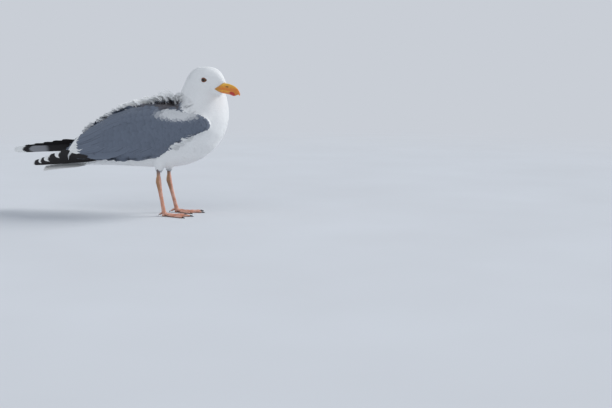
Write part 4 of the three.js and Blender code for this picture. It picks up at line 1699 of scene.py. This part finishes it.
@dataclass(frozen=True)
class Bill:
    """The two halves of the bill, in the head's frame.

    Each row of a half, from its base to its tip: a, the ridge, the cutting edge, and half the width.
    """

    upper: tuple = (
        (18.5, -9.0, -13.5, 12.2),
        (25, -5.0, -13.5, 10.6),
        (31, -1.6, -13.3, 8.9),
        (37, -0.4, -13.2, 7.5),
        (44, -0.2, -13.2, 6.6),
        (51, -0.7, -13.4, 5.9),
        (58, -1.6, -13.7, 5.4),
        (65, -3.0, -14.1, 4.9),
        (71, -5.0, -14.5, 4.4),
        (77, -8.2, -15.2, 3.6),
        (81.5, -11.6, -16.9, 2.6),
        (84.2, -15.0, -19.0, 1.5),
        (84.6, -18.2, -19.8, 0.5),
    )
    lower: tuple = (
        (18.5, -13.9, -15.4, 11.8),
        (25, -13.8, -18.9, 10.3),
        (32, -13.7, -20.4, 8.2),
        (40, -13.6, -20.8, 6.4),
        (48, -13.8, -21.0, 5.3),
        (56, -14.0, -21.4, 4.7),
        (62, -14.3, -22.3, 4.4),
        (67, -14.6, -22.6, 4.1),
        (72, -15.0, -21.4, 3.4),
        (77, -15.7, -19.6, 2.3),
        (80, -16.6, -18.6, 1.0),
    )
    nostril: tuple = (49.5, -6.2, 4.6, 1.0)  # a, c, half length, half height
    spot: tuple = (65, -18.4, 8.0, 4.6)  # the same of the red spot
    base: float = 17.0  # where the mark of the way along begins
    long: float = 70.0  # and how far it goes
    pit_depth: float = 0.28  # of the nostril, as a share of half the width

    def half(self, name: str, rows: tuple, upwards: bool, finish: bpy.types.Material) -> None:
        """Makes one half and paints its marks: the nostril, the red spot, the way along and the height.

        Args:
            name: Of the CAD node that it replaces.
            rows: Its outline.
            upwards: Whether its domed side is above.
            finish: Its material.
        """

        def place(share: np.ndarray, turn: np.ndarray) -> np.ndarray:
            """The places of the rings, domed on one side, nearly flat on the other, closed at both ends."""
            a, ridge, edge, half = through(rows, share).T
            flat, dome = (edge, ridge) if upwards else (ridge, edge)
            round_side = np.sin(turn) if upwards else -np.sin(turn)
            domed = np.sign(round_side) * np.abs(round_side) ** 0.9
            c = flat + np.where(domed > 0, (dome - flat) * domed, (dome - flat) * domed * 0.06)
            b = half * np.sign(np.cos(turn)) * np.abs(np.cos(turn)) ** 0.82
            pinch = 1 - 0.2 * np.clip(domed, 0, 1) * ramp(a, 34, 46)
            hole = self.pit(a, c) * (domed > 0)
            closing = ramp(share, 0, 0.015) * ramp(share, 1, 0.99)
            c = flat + (c - flat) * (0.15 + 0.85 * closing)
            return HEAD.out(np.stack([a, b * pinch * closing * (1 - self.pit_depth * hole), c], 1))

        piece = shaped_ball(f"horn_{name}", 48, 96, place)
        a, _, c = HEAD.into(points_of(piece)).T
        at_a, at_c, long, high = self.spot
        red = bump(a, at_a, long) * ramp(c, at_c + high + 1.5, at_c + 1.5)
        # the height, which the finish turns yellow along the top and orange down the sides: partly painted
        # light
        top = (c - c.min()) / np.ptp(c)
        marks = [self.pit(a, c), 0 * red if upwards else red, (a - self.base) / self.long, top]
        paint(piece, "horn", np.stack(marks, 1))
        dress(piece, finish, (name,))

    def pit(self, a: np.ndarray, c: np.ndarray) -> np.ndarray:
        """1 in the middle of a nostril and 0 away from it."""
        at_a, at_c, long, high = self.nostril
        return ramp(np.hypot((a - at_a) / long, (c - at_c) / high), 1.25, 0.6)

    def build(self, finish: bpy.types.Material) -> None:
        """Makes both halves."""
        self.half("bill_upper", self.upper, True, finish)
        self.half("bill_lower", self.lower, False, finish)


@dataclass(frozen=True)
class Leg:
    """One bare leg and webbed foot, with the plates down its front and over its toes."""

    side: str
    voxel: float = 0.62
    smoothing: int = 5
    plate: float = 3.4  # the height of a plate
    toe_plate: float = 0.8  # and of one on the toes, as a share of it
    relief: float = 0.22
    flat: float = 0.45  # whatever is lower than this lies on the ground
    claw_voxel: float = 0.3
    claw_smoothing: int = 3
    toes: tuple = ("inner", "middle", "outer", "hind")

    def build(self, finish: bpy.types.Material, horn: bpy.types.Material) -> None:
        """Makes the leg and its claws.

        Args:
            finish: The material of the bare skin.
            horn: The material of the claws.
        """
        nodes = (f"shank_{self.side}", f"foot_{self.side}")
        leg = fused(f"leg_{self.side}", nodes, self.voxel, self.smoothing)
        points, normals = points_of(leg), normals_of(leg)
        foot_top = node_box(nodes[1])[1][2]
        heel = self.heel(points)
        front = np.clip(normals[:, 0], 0, 1)
        up = np.clip(normals[:, 2], 0, 1)
        on_shank = ramp(points[:, 2], foot_top - 2, foot_top + 3)
        reach = np.hypot(points[:, 0] - heel[0], points[:, 1] - heel[1])
        wave = np.where(on_shank > 0.5, points[:, 2] / self.plate, reach / (self.toe_plate * self.plate))
        step = (wave % 1) ** 0.5 - 0.6
        strength = on_shank * front + (1 - on_shank) * ramp(up, 0.3, 0.9) * self.on_toe(points)
        points = points + normals * (self.relief * step * strength)[:, None]
        points[:, 2] = np.where(points[:, 2] < self.flat, 0.0, points[:, 2])
        move_points(leg, points)
        height = points[:, 2] / node_box(nodes[0])[1][2]
        # the last mark is the underside, which the finish darkens with painted shade
        marks = np.stack([height, front * on_shank, self.on_toe(points), ramp(normals[:, 2], 0.2, -0.6)], 1)
        paint(leg, "leg", marks)
        dress(leg, finish, nodes)
        for toe in self.toes:
            node = f"claw_{toe}_{self.side}"
            claw = fused(f"nail_{toe}_{self.side}", (node,), self.claw_voxel, self.claw_smoothing)
            dress(claw, horn, (node,))

    def heel(self, points: np.ndarray) -> np.ndarray:
        """Where the toes meet, on the ground.

        Args:
            points: The vertices of the leg.

        Returns:
            The place.
        """
        low, high = node_box(f"shank_{self.side}")
        near = points[np.abs(points[:, 2] - low[2] - 4) < 2]
        near = near[near[:, 0] > high[0] - 9]
        return near.mean(axis=0)

    def on_toe(self, points: np.ndarray) -> np.ndarray:
        """1 on the top of a toe and 0 on a web, by height over the ground."""
        return ramp(points[:, 2], 1.7, 2.8)


# ---- finishes -------------------------------------------------------------------------------------------


class Nodes:
    """Short ways to add nodes to one node tree."""

    def __init__(self, tree: bpy.types.NodeTree) -> None:
        """Works on this tree."""
        self.tree = tree

    def add(self, kind: str, settings: dict | None = None, **inputs: object) -> bpy.types.Node:
        """Adds a node.

        Args:
            kind: The node's type without its Shader prefix.
            settings: Its properties.
            **inputs: A value or an output for each input, with _ for a space in its name.

        Returns:
            The node.
        """
        node = self.tree.nodes.new("ShaderNode" + kind)
        for name, value in (settings or {}).items():
            setattr(node, name, value)
        self.feed(node, **inputs)
        return node

    def feed(self, node: bpy.types.Node, **inputs: object) -> None:
        """Sets or links inputs of a node.

        Args:
            node: The node.
            **inputs: A value or an output for each input, with _ for a space in its name.
        """
        for name, value in inputs.items():
            socket = node.inputs[int(name[1:]) if name[1:].isdigit() else name.replace("_", " ")]
            if isinstance(value, bpy.types.NodeSocket):
                self.tree.links.new(value, socket)
            else:
                socket.default_value = value

    def maths(
        self, operation: str, first: object, second: object = 0.0, third: object = 0.0
    ) -> bpy.types.NodeSocket:
        """The output of a maths node."""
        return self.add("Math", {"operation": operation}, i0=first, i1=second, i2=third).outputs[0]

    def rise(self, value: object, low: float, high: float) -> bpy.types.NodeSocket:
        """A smooth step from 0 at low to 1 at high."""
        settings = {"interpolation_type": "SMOOTHSTEP"}
        return self.add("MapRange", settings, i0=value, i1=low, i2=high).outputs[0]

    def mix(self, share: object, first: object, second: object) -> bpy.types.NodeSocket:
        """Two colours mixed."""
        return self.add("Mix", {"data_type": "RGBA"}, i0=share, i6=first, i7=second).outputs[2]


def begin(name: str) -> tuple[bpy.types.Material, Nodes, bpy.types.Node]:
    """A new material, its nodes and its shader.

    Args:
        name: The material's name.

    Returns:
        The material, a way to add nodes to it, and its shader.
    """
    made = bpy.data.materials.new(name)
    made.use_nodes = True
    return made, Nodes(made.node_tree), made.node_tree.nodes["Principled BSDF"]


def colour(red: int, green: int, blue: int) -> tuple[float, float, float, float]:
    """A colour from its screen values out of 255."""
    linear = [((v / 255 + 0.055) / 1.055) ** 2.4 if v > 10 else v / 255 / 12.92 for v in (red, green, blue)]
    return (*linear, 1.0)


def node_group(
    name: str, takes: dict[str, float], gives: tuple[str, ...]
) -> tuple[bpy.types.NodeTree, dict, bpy.types.Node]:
    """A new shader node group of plain values.

    Args:
        name: The group's name.
        takes: Its inputs with their defaults.
        gives: Its outputs.

    Returns:
        The group, its inputs as sockets to read, and the node that its outputs go to.
    """
    tree = bpy.data.node_groups.new(name, "ShaderNodeTree")
    for label, value in takes.items():
        tree.interface.new_socket(label, in_out="INPUT", socket_type="NodeSocketFloat").default_value = value
    for label in gives:
        tree.interface.new_socket(label, in_out="OUTPUT", socket_type="NodeSocketFloat")
    start = tree.nodes.new("NodeGroupInput")
    return tree, start.outputs, tree.nodes.new("NodeGroupOutput")


def barbs_group() -> bpy.types.NodeTree:
    """The fine slanting barbs of a vane, which meet along its shaft.

    Returns:
        A node group that gives their height, and 1 on the shaft.
    """
    defaults = {"Along": 0.5, "Across": 0.5, "Count": 40, "Slant": 0.6}
    tree, takes, end = node_group("Barbs", defaults, ("Height", "Shaft"))
    nodes = Nodes(tree)
    off = nodes.maths("ABSOLUTE", nodes.maths("SUBTRACT", takes["Across"], 0.5))
    slanted = nodes.maths("MULTIPLY_ADD", off, takes["Slant"], nodes.maths("MULTIPLY", takes["Along"], -1.0))
    turns = nodes.maths("MULTIPLY", slanted, takes["Count"])
    wave = nodes.maths("SINE", nodes.maths("MULTIPLY", turns, 2 * math.pi))
    tree.links.new(nodes.maths("MULTIPLY_ADD", wave, 0.5, 0.5), end.inputs["Height"])
    tree.links.new(nodes.rise(off, 0.05, 0.02), end.inputs["Shaft"])
    return tree


@dataclass(frozen=True)
class SmallPlumage:
    """White and grey contour feathers, soft and without shine, with painted shade at each feather's root and in
    the hollow under the crest.
    """

    white: tuple = colour(242, 243, 243)
    grey: tuple = colour(105, 114, 129)
    # painted shade of the hollow under the crest
    hollow: tuple = colour(84, 80, 84)
    roughness: float = 0.75

    def material(self, barbs: bpy.types.NodeTree) -> bpy.types.Material:
        """Builds the material, which reads each feather's marks: its grey, the way along it, and its chance.

        Args:
            barbs: The node group of the barbs.

        Returns:
            The material.
        """
        made, nodes, shader = begin("small_plumage")
        mark = nodes.add("Attribute", {"attribute_name": "plume"})
        across = mark.outputs["Alpha"]
        grey, along, chance = nodes.add("SeparateColor", i0=mark.outputs["Color"]).outputs
        base = nodes.mix(grey, self.white, self.grey)
        # marks above 1 darken to the painted shade of the hollow under the crest
        base = nodes.mix(nodes.maths("SUBTRACT", grey, 1.0), base, self.hollow)
        unlike = nodes.maths("MULTIPLY_ADD", grey, 0.06, 0.03)
        tone = nodes.maths("MULTIPLY_ADD", nodes.maths("SUBTRACT", chance, 0.5), unlike, 0.98)
        # painted shade: each feather darkens towards its root, where it lies under its neighbours
        root = nodes.maths("MULTIPLY_ADD", grey, 0.1, 0.06)
        painted_root_shade = nodes.maths("MULTIPLY", nodes.rise(along, 0.9, 0.1), root)
        tone = nodes.maths("SUBTRACT", tone, painted_root_shade)
        shade = nodes.add("CombineColor", i0=tone, i1=tone, i2=tone).outputs[0]
        multiply = {"data_type": "RGBA", "blend_type": "MULTIPLY"}
        look = nodes.add("Mix", multiply, i0=1.0, i6=base, i7=shade).outputs[2]
        group = nodes.add("Group", {"node_tree": barbs}, Along=along, Across=across, Count=14.0)
        bumps = nodes.add("Bump", Strength=0.25, Distance=0.0002, Height=group.outputs["Height"])
        nodes.feed(shader, Base_Color=look, Normal=bumps.outputs[0], Roughness=self.roughness)
        nodes.feed(shader, Specular_IOR_Level=0.25, Sheen_Weight=0.15)
        return made


@dataclass(frozen=True)
class QuillFinish:
    """Large feathers: a base colour, then dark towards the tip, a white mirror in the dark painted grey with
    shade, and a white tip.
    """

    name: str
    base: tuple
    edge: tuple
    shaft: tuple
    dark: tuple = colour(27, 25, 27)
    # the white mirror, painted grey with shade
    pale: tuple = colour(140, 141, 146)
    white: tuple = colour(238, 239, 238)
    roughness: float = 0.6

    def material(self, barbs: bpy.types.NodeTree) -> bpy.types.Material:
        """Builds the material, which reads the place on the vane and the marks of the feather.

        Args:
            barbs: The node group of the barbs.

        Returns:
            The material.
        """
        made, nodes, shader = begin(self.name)
        vane = nodes.add("UVMap", {"uv_map": "Vane"})
        across, along, _ = nodes.add("SeparateXYZ", i0=vane.outputs[0]).outputs
        mark = nodes.add("Attribute", {"attribute_name": "quill"})
        white, dark, mirror = nodes.add("SeparateColor", i0=mark.outputs["Color"]).outputs
        group = nodes.add("Group", {"node_tree": barbs}, Along=along, Across=across, Count=46.0, Slant=0.5)
        off = nodes.maths("ABSOLUTE", nodes.maths("MULTIPLY_ADD", across, 2.0, -1.0))
        slanted = nodes.maths("MULTIPLY_ADD", off, -0.06, along)
        wear = nodes.add("TexNoise", {"noise_dimensions": "1D"}, W=slanted, Scale=90.0, Detail=3.0)
        noise = wear.outputs["Fac"]
        ragged = nodes.maths("MULTIPLY_ADD", nodes.maths("SUBTRACT", noise, 0.5), 0.05, along)
        tone = nodes.mix(nodes.maths("MULTIPLY", noise, 0.5), self.base, self.edge)
        look = nodes.mix(nodes.maths("MULTIPLY", nodes.rise(off, 0.8, 1.0), 0.6), tone, self.edge)
        look = nodes.mix(nodes.maths("MULTIPLY", group.outputs["Shaft"], 0.6), look, self.shaft)
        look = nodes.mix(self.past(nodes, ragged, dark, 0.03), look, self.dark)
        bend = nodes.maths("MULTIPLY", white, 0.4)
        bowed = nodes.maths("MULTIPLY_ADD", nodes.maths("POWER", off, 2.0), bend, ragged)
        patch = self.past(nodes, ragged, mirror, 0.04)
        patch = nodes.maths("MULTIPLY", patch, self.past(nodes, bowed, mark.outputs["Alpha"], -0.02))
        # the mirror, painted grey with shade
        look = nodes.mix(patch, look, self.pale)
        tip = self.past(nodes, bowed, nodes.maths("SUBTRACT", 1.0, white), 0.012)
        look = nodes.mix(tip, look, self.white)
        bumps = nodes.add("Bump", Strength=0.3, Distance=0.0002, Height=group.outputs["Height"])
        nodes.feed(shader, Base_Color=look, Normal=bumps.outputs[0], Roughness=self.roughness)
        nodes.feed(shader, Specular_IOR_Level=0.3)
        return made

    def past(
        self, nodes: Nodes, value: bpy.types.NodeSocket, edge: object, soft: float
    ) -> bpy.types.NodeSocket:
        """1 where a value is past an edge, 0 before it; the other way round where soft is below 0."""
        return nodes.rise(nodes.maths("SUBTRACT", value, edge), -soft, soft)


QUILL_FINISHES = {
    QuillKind.BLACK: QuillFinish(
        "tip_feathers", colour(105, 114, 129), colour(60, 58, 60), colour(18, 17, 18)
    ),
    QuillKind.GREY: QuillFinish(
        "wing_feathers", colour(100, 109, 124), colour(122, 131, 146), colour(76, 83, 95)
    ),
    QuillKind.WHITE: QuillFinish(
        "white_feathers", colour(238, 239, 238), colour(243, 243, 242), colour(214, 212, 206)
    ),
}


@dataclass(frozen=True)
class EyeFinish:
    """The eyeball: a black pupil in a dull amber iris under a wet surface. The iris is darker than a living
    gull's pale one: partly painted shade.
    """

    pupil: tuple = colour(8, 7, 7)
    # the iris, darkened below a living gull's pale yellow: partly painted shade
    inner: tuple = colour(122, 90, 50)
    outer: tuple = colour(74, 50, 30)

    def material(self, eye: Eye) -> bpy.types.Material:
        """Builds the material.

        Args:
            eye: The eye whose radii it takes.

        Returns:
            The material.
        """
        made, nodes, shader = begin("eye")
        mark = nodes.add("Attribute", {"attribute_name": "eye"})
        off, turn, _ = nodes.add("SeparateColor", i0=mark.outputs["Color"]).outputs
        rays = nodes.maths("SINE", nodes.maths("MULTIPLY", turn, 2 * math.pi * 46))
        pupil, edge = eye.pupil / eye.mark_reach, eye.iris / eye.mark_reach
        fleck = nodes.maths("MULTIPLY_ADD", rays, 0.12, nodes.rise(off, pupil, edge))
        iris = nodes.mix(fleck, self.inner, self.outer)
        seen = nodes.rise(off, pupil - 0.01, pupil + 0.01)
        look = nodes.mix(seen, self.pupil, iris)
        nodes.feed(shader, Base_Color=look, Roughness=0.25, Specular_IOR_Level=0.0)
        nodes.feed(shader, Coat_Weight=0.8, Coat_Roughness=0.03)
        return made


@dataclass(frozen=True)
class RingFinish:
    """The bare ring round the eye, orange and finely wrinkled, with painted shade in the folds of the wrinkles.
    """

    skin: tuple = colour(132, 72, 36)
    # painted shade in the folds
    fold: tuple = colour(92, 50, 28)

    def material(self) -> bpy.types.Material:
        """Builds the material.

        Returns:
            The material.
        """
        made, nodes, shader = begin("eye_ring")
        place = nodes.add("TexCoord").outputs["Object"]
        grain = nodes.add("TexNoise", Vector=place, Scale=1800.0, Detail=3.0).outputs["Fac"]
        look = nodes.mix(nodes.rise(grain, 0.35, 0.6), self.fold, self.skin)
        bumps = nodes.add("Bump", Strength=0.4, Distance=0.0002, Height=grain)
        nodes.feed(shader, Base_Color=look, Normal=bumps.outputs[0], Roughness=0.5)
        return made


@dataclass(frozen=True)
class HornFinish:
    """The bill: yellow to orange horn with a red spot, painted shade in the nostrils and a pale cutting edge.
    Its yellow along the top is partly a painted highlight.
    """

    yellow: tuple = colour(242, 188, 58)
    orange: tuple = colour(222, 128, 36)
    base: tuple = colour(196, 138, 58)
    spot: tuple = colour(196, 40, 34)
    # painted shade in the nostrils
    hollow: tuple = colour(60, 30, 14)

    def material(self) -> bpy.types.Material:
        """Builds the material, which reads the bill's marks: nostril, spot, way along, and height.

        Returns:
            The material.
        """
        made, nodes, shader = begin("bill_horn")
        mark = nodes.add("Attribute", {"attribute_name": "horn"})
        pit, red, along = nodes.add("SeparateColor", i0=mark.outputs["Color"]).outputs
        place = nodes.add("TexCoord").outputs["Object"]
        streak = nodes.add("TexNoise", Vector=place, Scale=260.0, Detail=4.0, Roughness=0.6).outputs["Fac"]
        # yellow along the top, orange down the sides: partly the bill's own colour, partly a painted highlight
        # on the top
        height = nodes.maths("MULTIPLY_ADD", nodes.maths("SUBTRACT", streak, 0.5), 0.8, mark.outputs["Alpha"])
        horn = nodes.mix(nodes.rise(height, 0.5, 1.0), self.orange, self.yellow)
        horn = nodes.mix(nodes.rise(along, 0.3, 0.08), horn, self.base)
        ragged = nodes.maths("MULTIPLY_ADD", nodes.maths("SUBTRACT", streak, 0.5), 0.5, red)
        horn = nodes.mix(nodes.rise(ragged, 0.28, 0.6), horn, self.spot)
        # painted shade in the nostril's pit
        horn = nodes.mix(pit, horn, self.hollow)
        bumps = nodes.add("Bump", Strength=0.15, Distance=0.0003, Height=streak)
        rough = nodes.maths("MULTIPLY_ADD", streak, 0.25, 0.25)
        nodes.feed(shader, Base_Color=horn, Normal=bumps.outputs[0], Roughness=rough)
        nodes.feed(shader, Coat_Weight=0.2, Coat_Roughness=0.25)
        return made


@dataclass(frozen=True)
class LegFinish:
    """Bare leg skin: flesh pink with an ochre heel, in fine scales, with painted shade in the grooves between
    them and on every downward face.
    """

    pink: tuple = colour(228, 178, 158)
    red: tuple = colour(206, 140, 114)
    ochre: tuple = colour(168, 128, 84)
    shade: tuple = colour(128, 118, 118)
    # painted shade in the scales' grooves and on downward faces
    sole: tuple = colour(96, 66, 54)

    def material(self) -> bpy.types.Material:
        """Builds the material, which reads two of the leg's marks, height and front, and its underside, which
        it darkens with painted shade.

        Returns:
            The material.
        """
        made, nodes, shader = begin("leg_skin")
        mark = nodes.add("Attribute", {"attribute_name": "leg"})
        height, front, _ = nodes.add("SeparateColor", i0=mark.outputs["Color"]).outputs
        place = nodes.add("TexCoord").outputs["Object"]
        scales = nodes.add("TexVoronoi", {"feature": "DISTANCE_TO_EDGE"}, Vector=place, Scale=620.0)
        cell = scales.outputs["Distance"]
        cloud = nodes.add("TexNoise", Vector=place, Scale=90.0, Detail=4.0).outputs["Fac"]
        skin = nodes.mix(nodes.rise(cloud, 0.35, 0.65), self.red, self.pink)
        joint = nodes.maths("MULTIPLY", nodes.rise(height, 0.45, 0.6), nodes.rise(front, 0.7, 0.2))
        skin = nodes.mix(nodes.maths("MULTIPLY", joint, 0.75), skin, self.ochre)
        skin = nodes.mix(nodes.rise(height, 0.8, 0.95), skin, self.shade)
        # painted shade in the grooves between the scales, then on every downward face
        skin = nodes.mix(nodes.maths("MULTIPLY", nodes.rise(cell, 0.07, 0.0), 0.35), skin, self.sole)
        skin = nodes.mix(nodes.maths("MULTIPLY", mark.outputs["Alpha"], 0.7), skin, self.sole)
        raised = nodes.rise(cell, 0.0, 0.14)
        bumps = nodes.add("Bump", Strength=0.5, Distance=0.00025, Height=raised)
        nodes.feed(shader, Base_Color=skin, Normal=bumps.outputs[0], Roughness=0.5)
        return made


@dataclass(frozen=True)
class ClawFinish:
    """Dark horn, paler at the root."""

    dark: tuple = colour(34, 27, 24)
    worn: tuple = colour(84, 66, 56)

    def material(self) -> bpy.types.Material:
        """Builds the material.

        Returns:
            The material.
        """
        made, nodes, shader = begin("claw_horn")
        place = nodes.add("TexCoord").outputs["Object"]
        grain = nodes.add("TexNoise", Vector=place, Scale=700.0, Detail=3.0).outputs["Fac"]
        look = nodes.mix(nodes.rise(grain, 0.4, 0.75), self.dark, self.worn)
        rough = nodes.maths("MULTIPLY_ADD", grain, 0.3, 0.25)
        nodes.feed(shader, Base_Color=look, Roughness=rough)
        return made


# ---- studio ---------------------------------------------------------------------------------------------


@dataclass(frozen=True)
class Studio:
    """A pale floor that fades into an even backdrop, soft lamps, and the camera."""

    camera_at: tuple = (972.9, -2052.1, 298.0)
    camera_turn: float = 16.0
    camera_tip: float = -7.13
    lens: float = 63.94
    sensor: float = 36.0
    sight: float = 50.0  # how far the camera sees, in metres
    floor: tuple = colour(212, 214, 217)
    speck: tuple = colour(221, 224, 228)
    backdrop: tuple = colour(201, 206, 214)
    sky: tuple = colour(224, 233, 246)
    glow: tuple = (0.55, 1.0)  # the strength of the sky, and of the backdrop
    fade: tuple = (1.2, 3.4)  # how far out the floor begins to fade, and is gone, in metres
    lamps: tuple = (("key", (0.76, 0.42, 0.55), 2.0, 30), ("fill", (0.0, -0.85, 0.5), 0.55, 70))

    def build(self) -> None:
        """Makes the stage, the lamps and the camera."""
        self.ground()
        for name, way, power, soft in self.lamps:
            self.lamp(name, way, power, soft)
        self.surroundings()
        camera = bpy.data.objects.new("camera", bpy.data.cameras.new("camera"))
        bpy.context.scene.collection.objects.link(camera)
        camera.location = Vector(self.camera_at) * MM
        camera.rotation_euler = (math.radians(90 + self.camera_tip), 0, math.radians(self.camera_turn))
        camera.data.lens = self.lens
        camera.data.sensor_width = self.sensor
        camera.data.clip_end = self.sight
        bpy.context.scene.camera = camera
        bpy.context.scene.view_settings.view_transform = "Standard"

    def surroundings(self) -> None:
        """An even sky that lights the bird, and the backdrop that is seen in its place."""
        world = bpy.data.worlds.new("world")
        bpy.context.scene.world = world
        world.use_nodes = True
        nodes = Nodes(world.node_tree)
        ray = nodes.add("LightPath").outputs
        seen = nodes.maths("MAXIMUM", ray["Is Glossy Ray"], ray["Is Transmission Ray"])
        seen = nodes.maths("MAXIMUM", ray["Is Camera Ray"], seen)
        dim, bright = self.glow
        strength = nodes.maths("MULTIPLY_ADD", seen, bright - dim, dim)
        look = nodes.mix(seen, self.sky, self.backdrop)
        nodes.feed(world.node_tree.nodes["Background"], Color=look, Strength=strength)

    def ground(self) -> None:
        """The floor. It keeps the bird's shadow, and far out it fades into the backdrop."""
        select_none()
        bpy.ops.mesh.primitive_circle_add(vertices=96, radius=self.fade[1] * 1.2, fill_type="NGON")
        floor = bpy.context.active_object
        floor.name = "floor"
        finish, nodes, shader = begin("floor")
        place = nodes.add("TexCoord").outputs["Object"]
        specks = nodes.add("TexNoise", Vector=place, Scale=3.0).outputs["Fac"]
        look = nodes.mix(specks, self.floor, self.speck)
        nodes.feed(shader, Base_Color=look, Roughness=0.9, Specular_IOR_Level=0.0)
        far = nodes.add("VectorMath", {"operation": "LENGTH"}, i0=place).outputs["Value"]
        clear = nodes.add("BsdfTransparent").outputs[0]
        both = nodes.add("MixShader", i0=nodes.rise(far, *self.fade), i1=shader.outputs[0], i2=clear)
        nodes.feed(finish.node_tree.nodes["Material Output"], Surface=both.outputs[0])
        floor.data.materials.append(finish)

    def lamp(self, name: str, way: tuple, power: float, soft: float) -> None:
        """A far, soft lamp.

        Args:
            name: Its name.
            way: The way from the bird to the lamp.
            power: Its strength.
            soft: How wide it looks from the bird, in degrees.
        """
        data = bpy.data.lights.new(name, "SUN")
        data.energy = power
        data.angle = math.radians(soft)
        lamp = bpy.data.objects.new(name, data)
        bpy.context.scene.collection.objects.link(lamp)
        lamp.rotation_euler = Vector(way).to_track_quat("Z", "Y").to_euler()


# ---- the bird -------------------------------------------------------------------------------------------


def main() -> None:
    """Builds the bird around its frame, and the studio round it."""
    logging.basicConfig(level=logging.INFO, format="%(name)s: %(message)s")
    plumage = {"body": Plumage(HEAD_LIES + BODY_LIES), "wing": Plumage(WING_LIES)}
    barbs = barbs_group()
    finish = SmallPlumage().material(barbs)
    maker = Skin()
    surface = Surface(maker.build(plumage, finish))
    labels = maker.nearest(surface.middles)
    for coat in COATS:
        kind = "wing" if "wing" in coat.name else "body"
        coat.build(surface, labels, plumage[kind], finish)
    finishes = {kind: quill_finish.material(barbs) for kind, quill_finish in QUILL_FINISHES.items()}
    for quill_set, kind in quill_sets():
        quill_set.build(surface, finishes[kind])
    Crest().build(surface, finish)
    ring_finish = RingFinish().material()
    eye_finish = EyeFinish().material(Eye("right"))
    for side in SIDES:
        Eye(side).build(eye_finish, ring_finish)
    Bill().build(HornFinish().material())
    leg_finish, claw_finish = LegFinish().material(), ClawFinish().material()
    for side in SIDES:
        Leg(side).build(leg_finish, claw_finish)
    Studio().build()


if __name__ == "__main__":
    main()
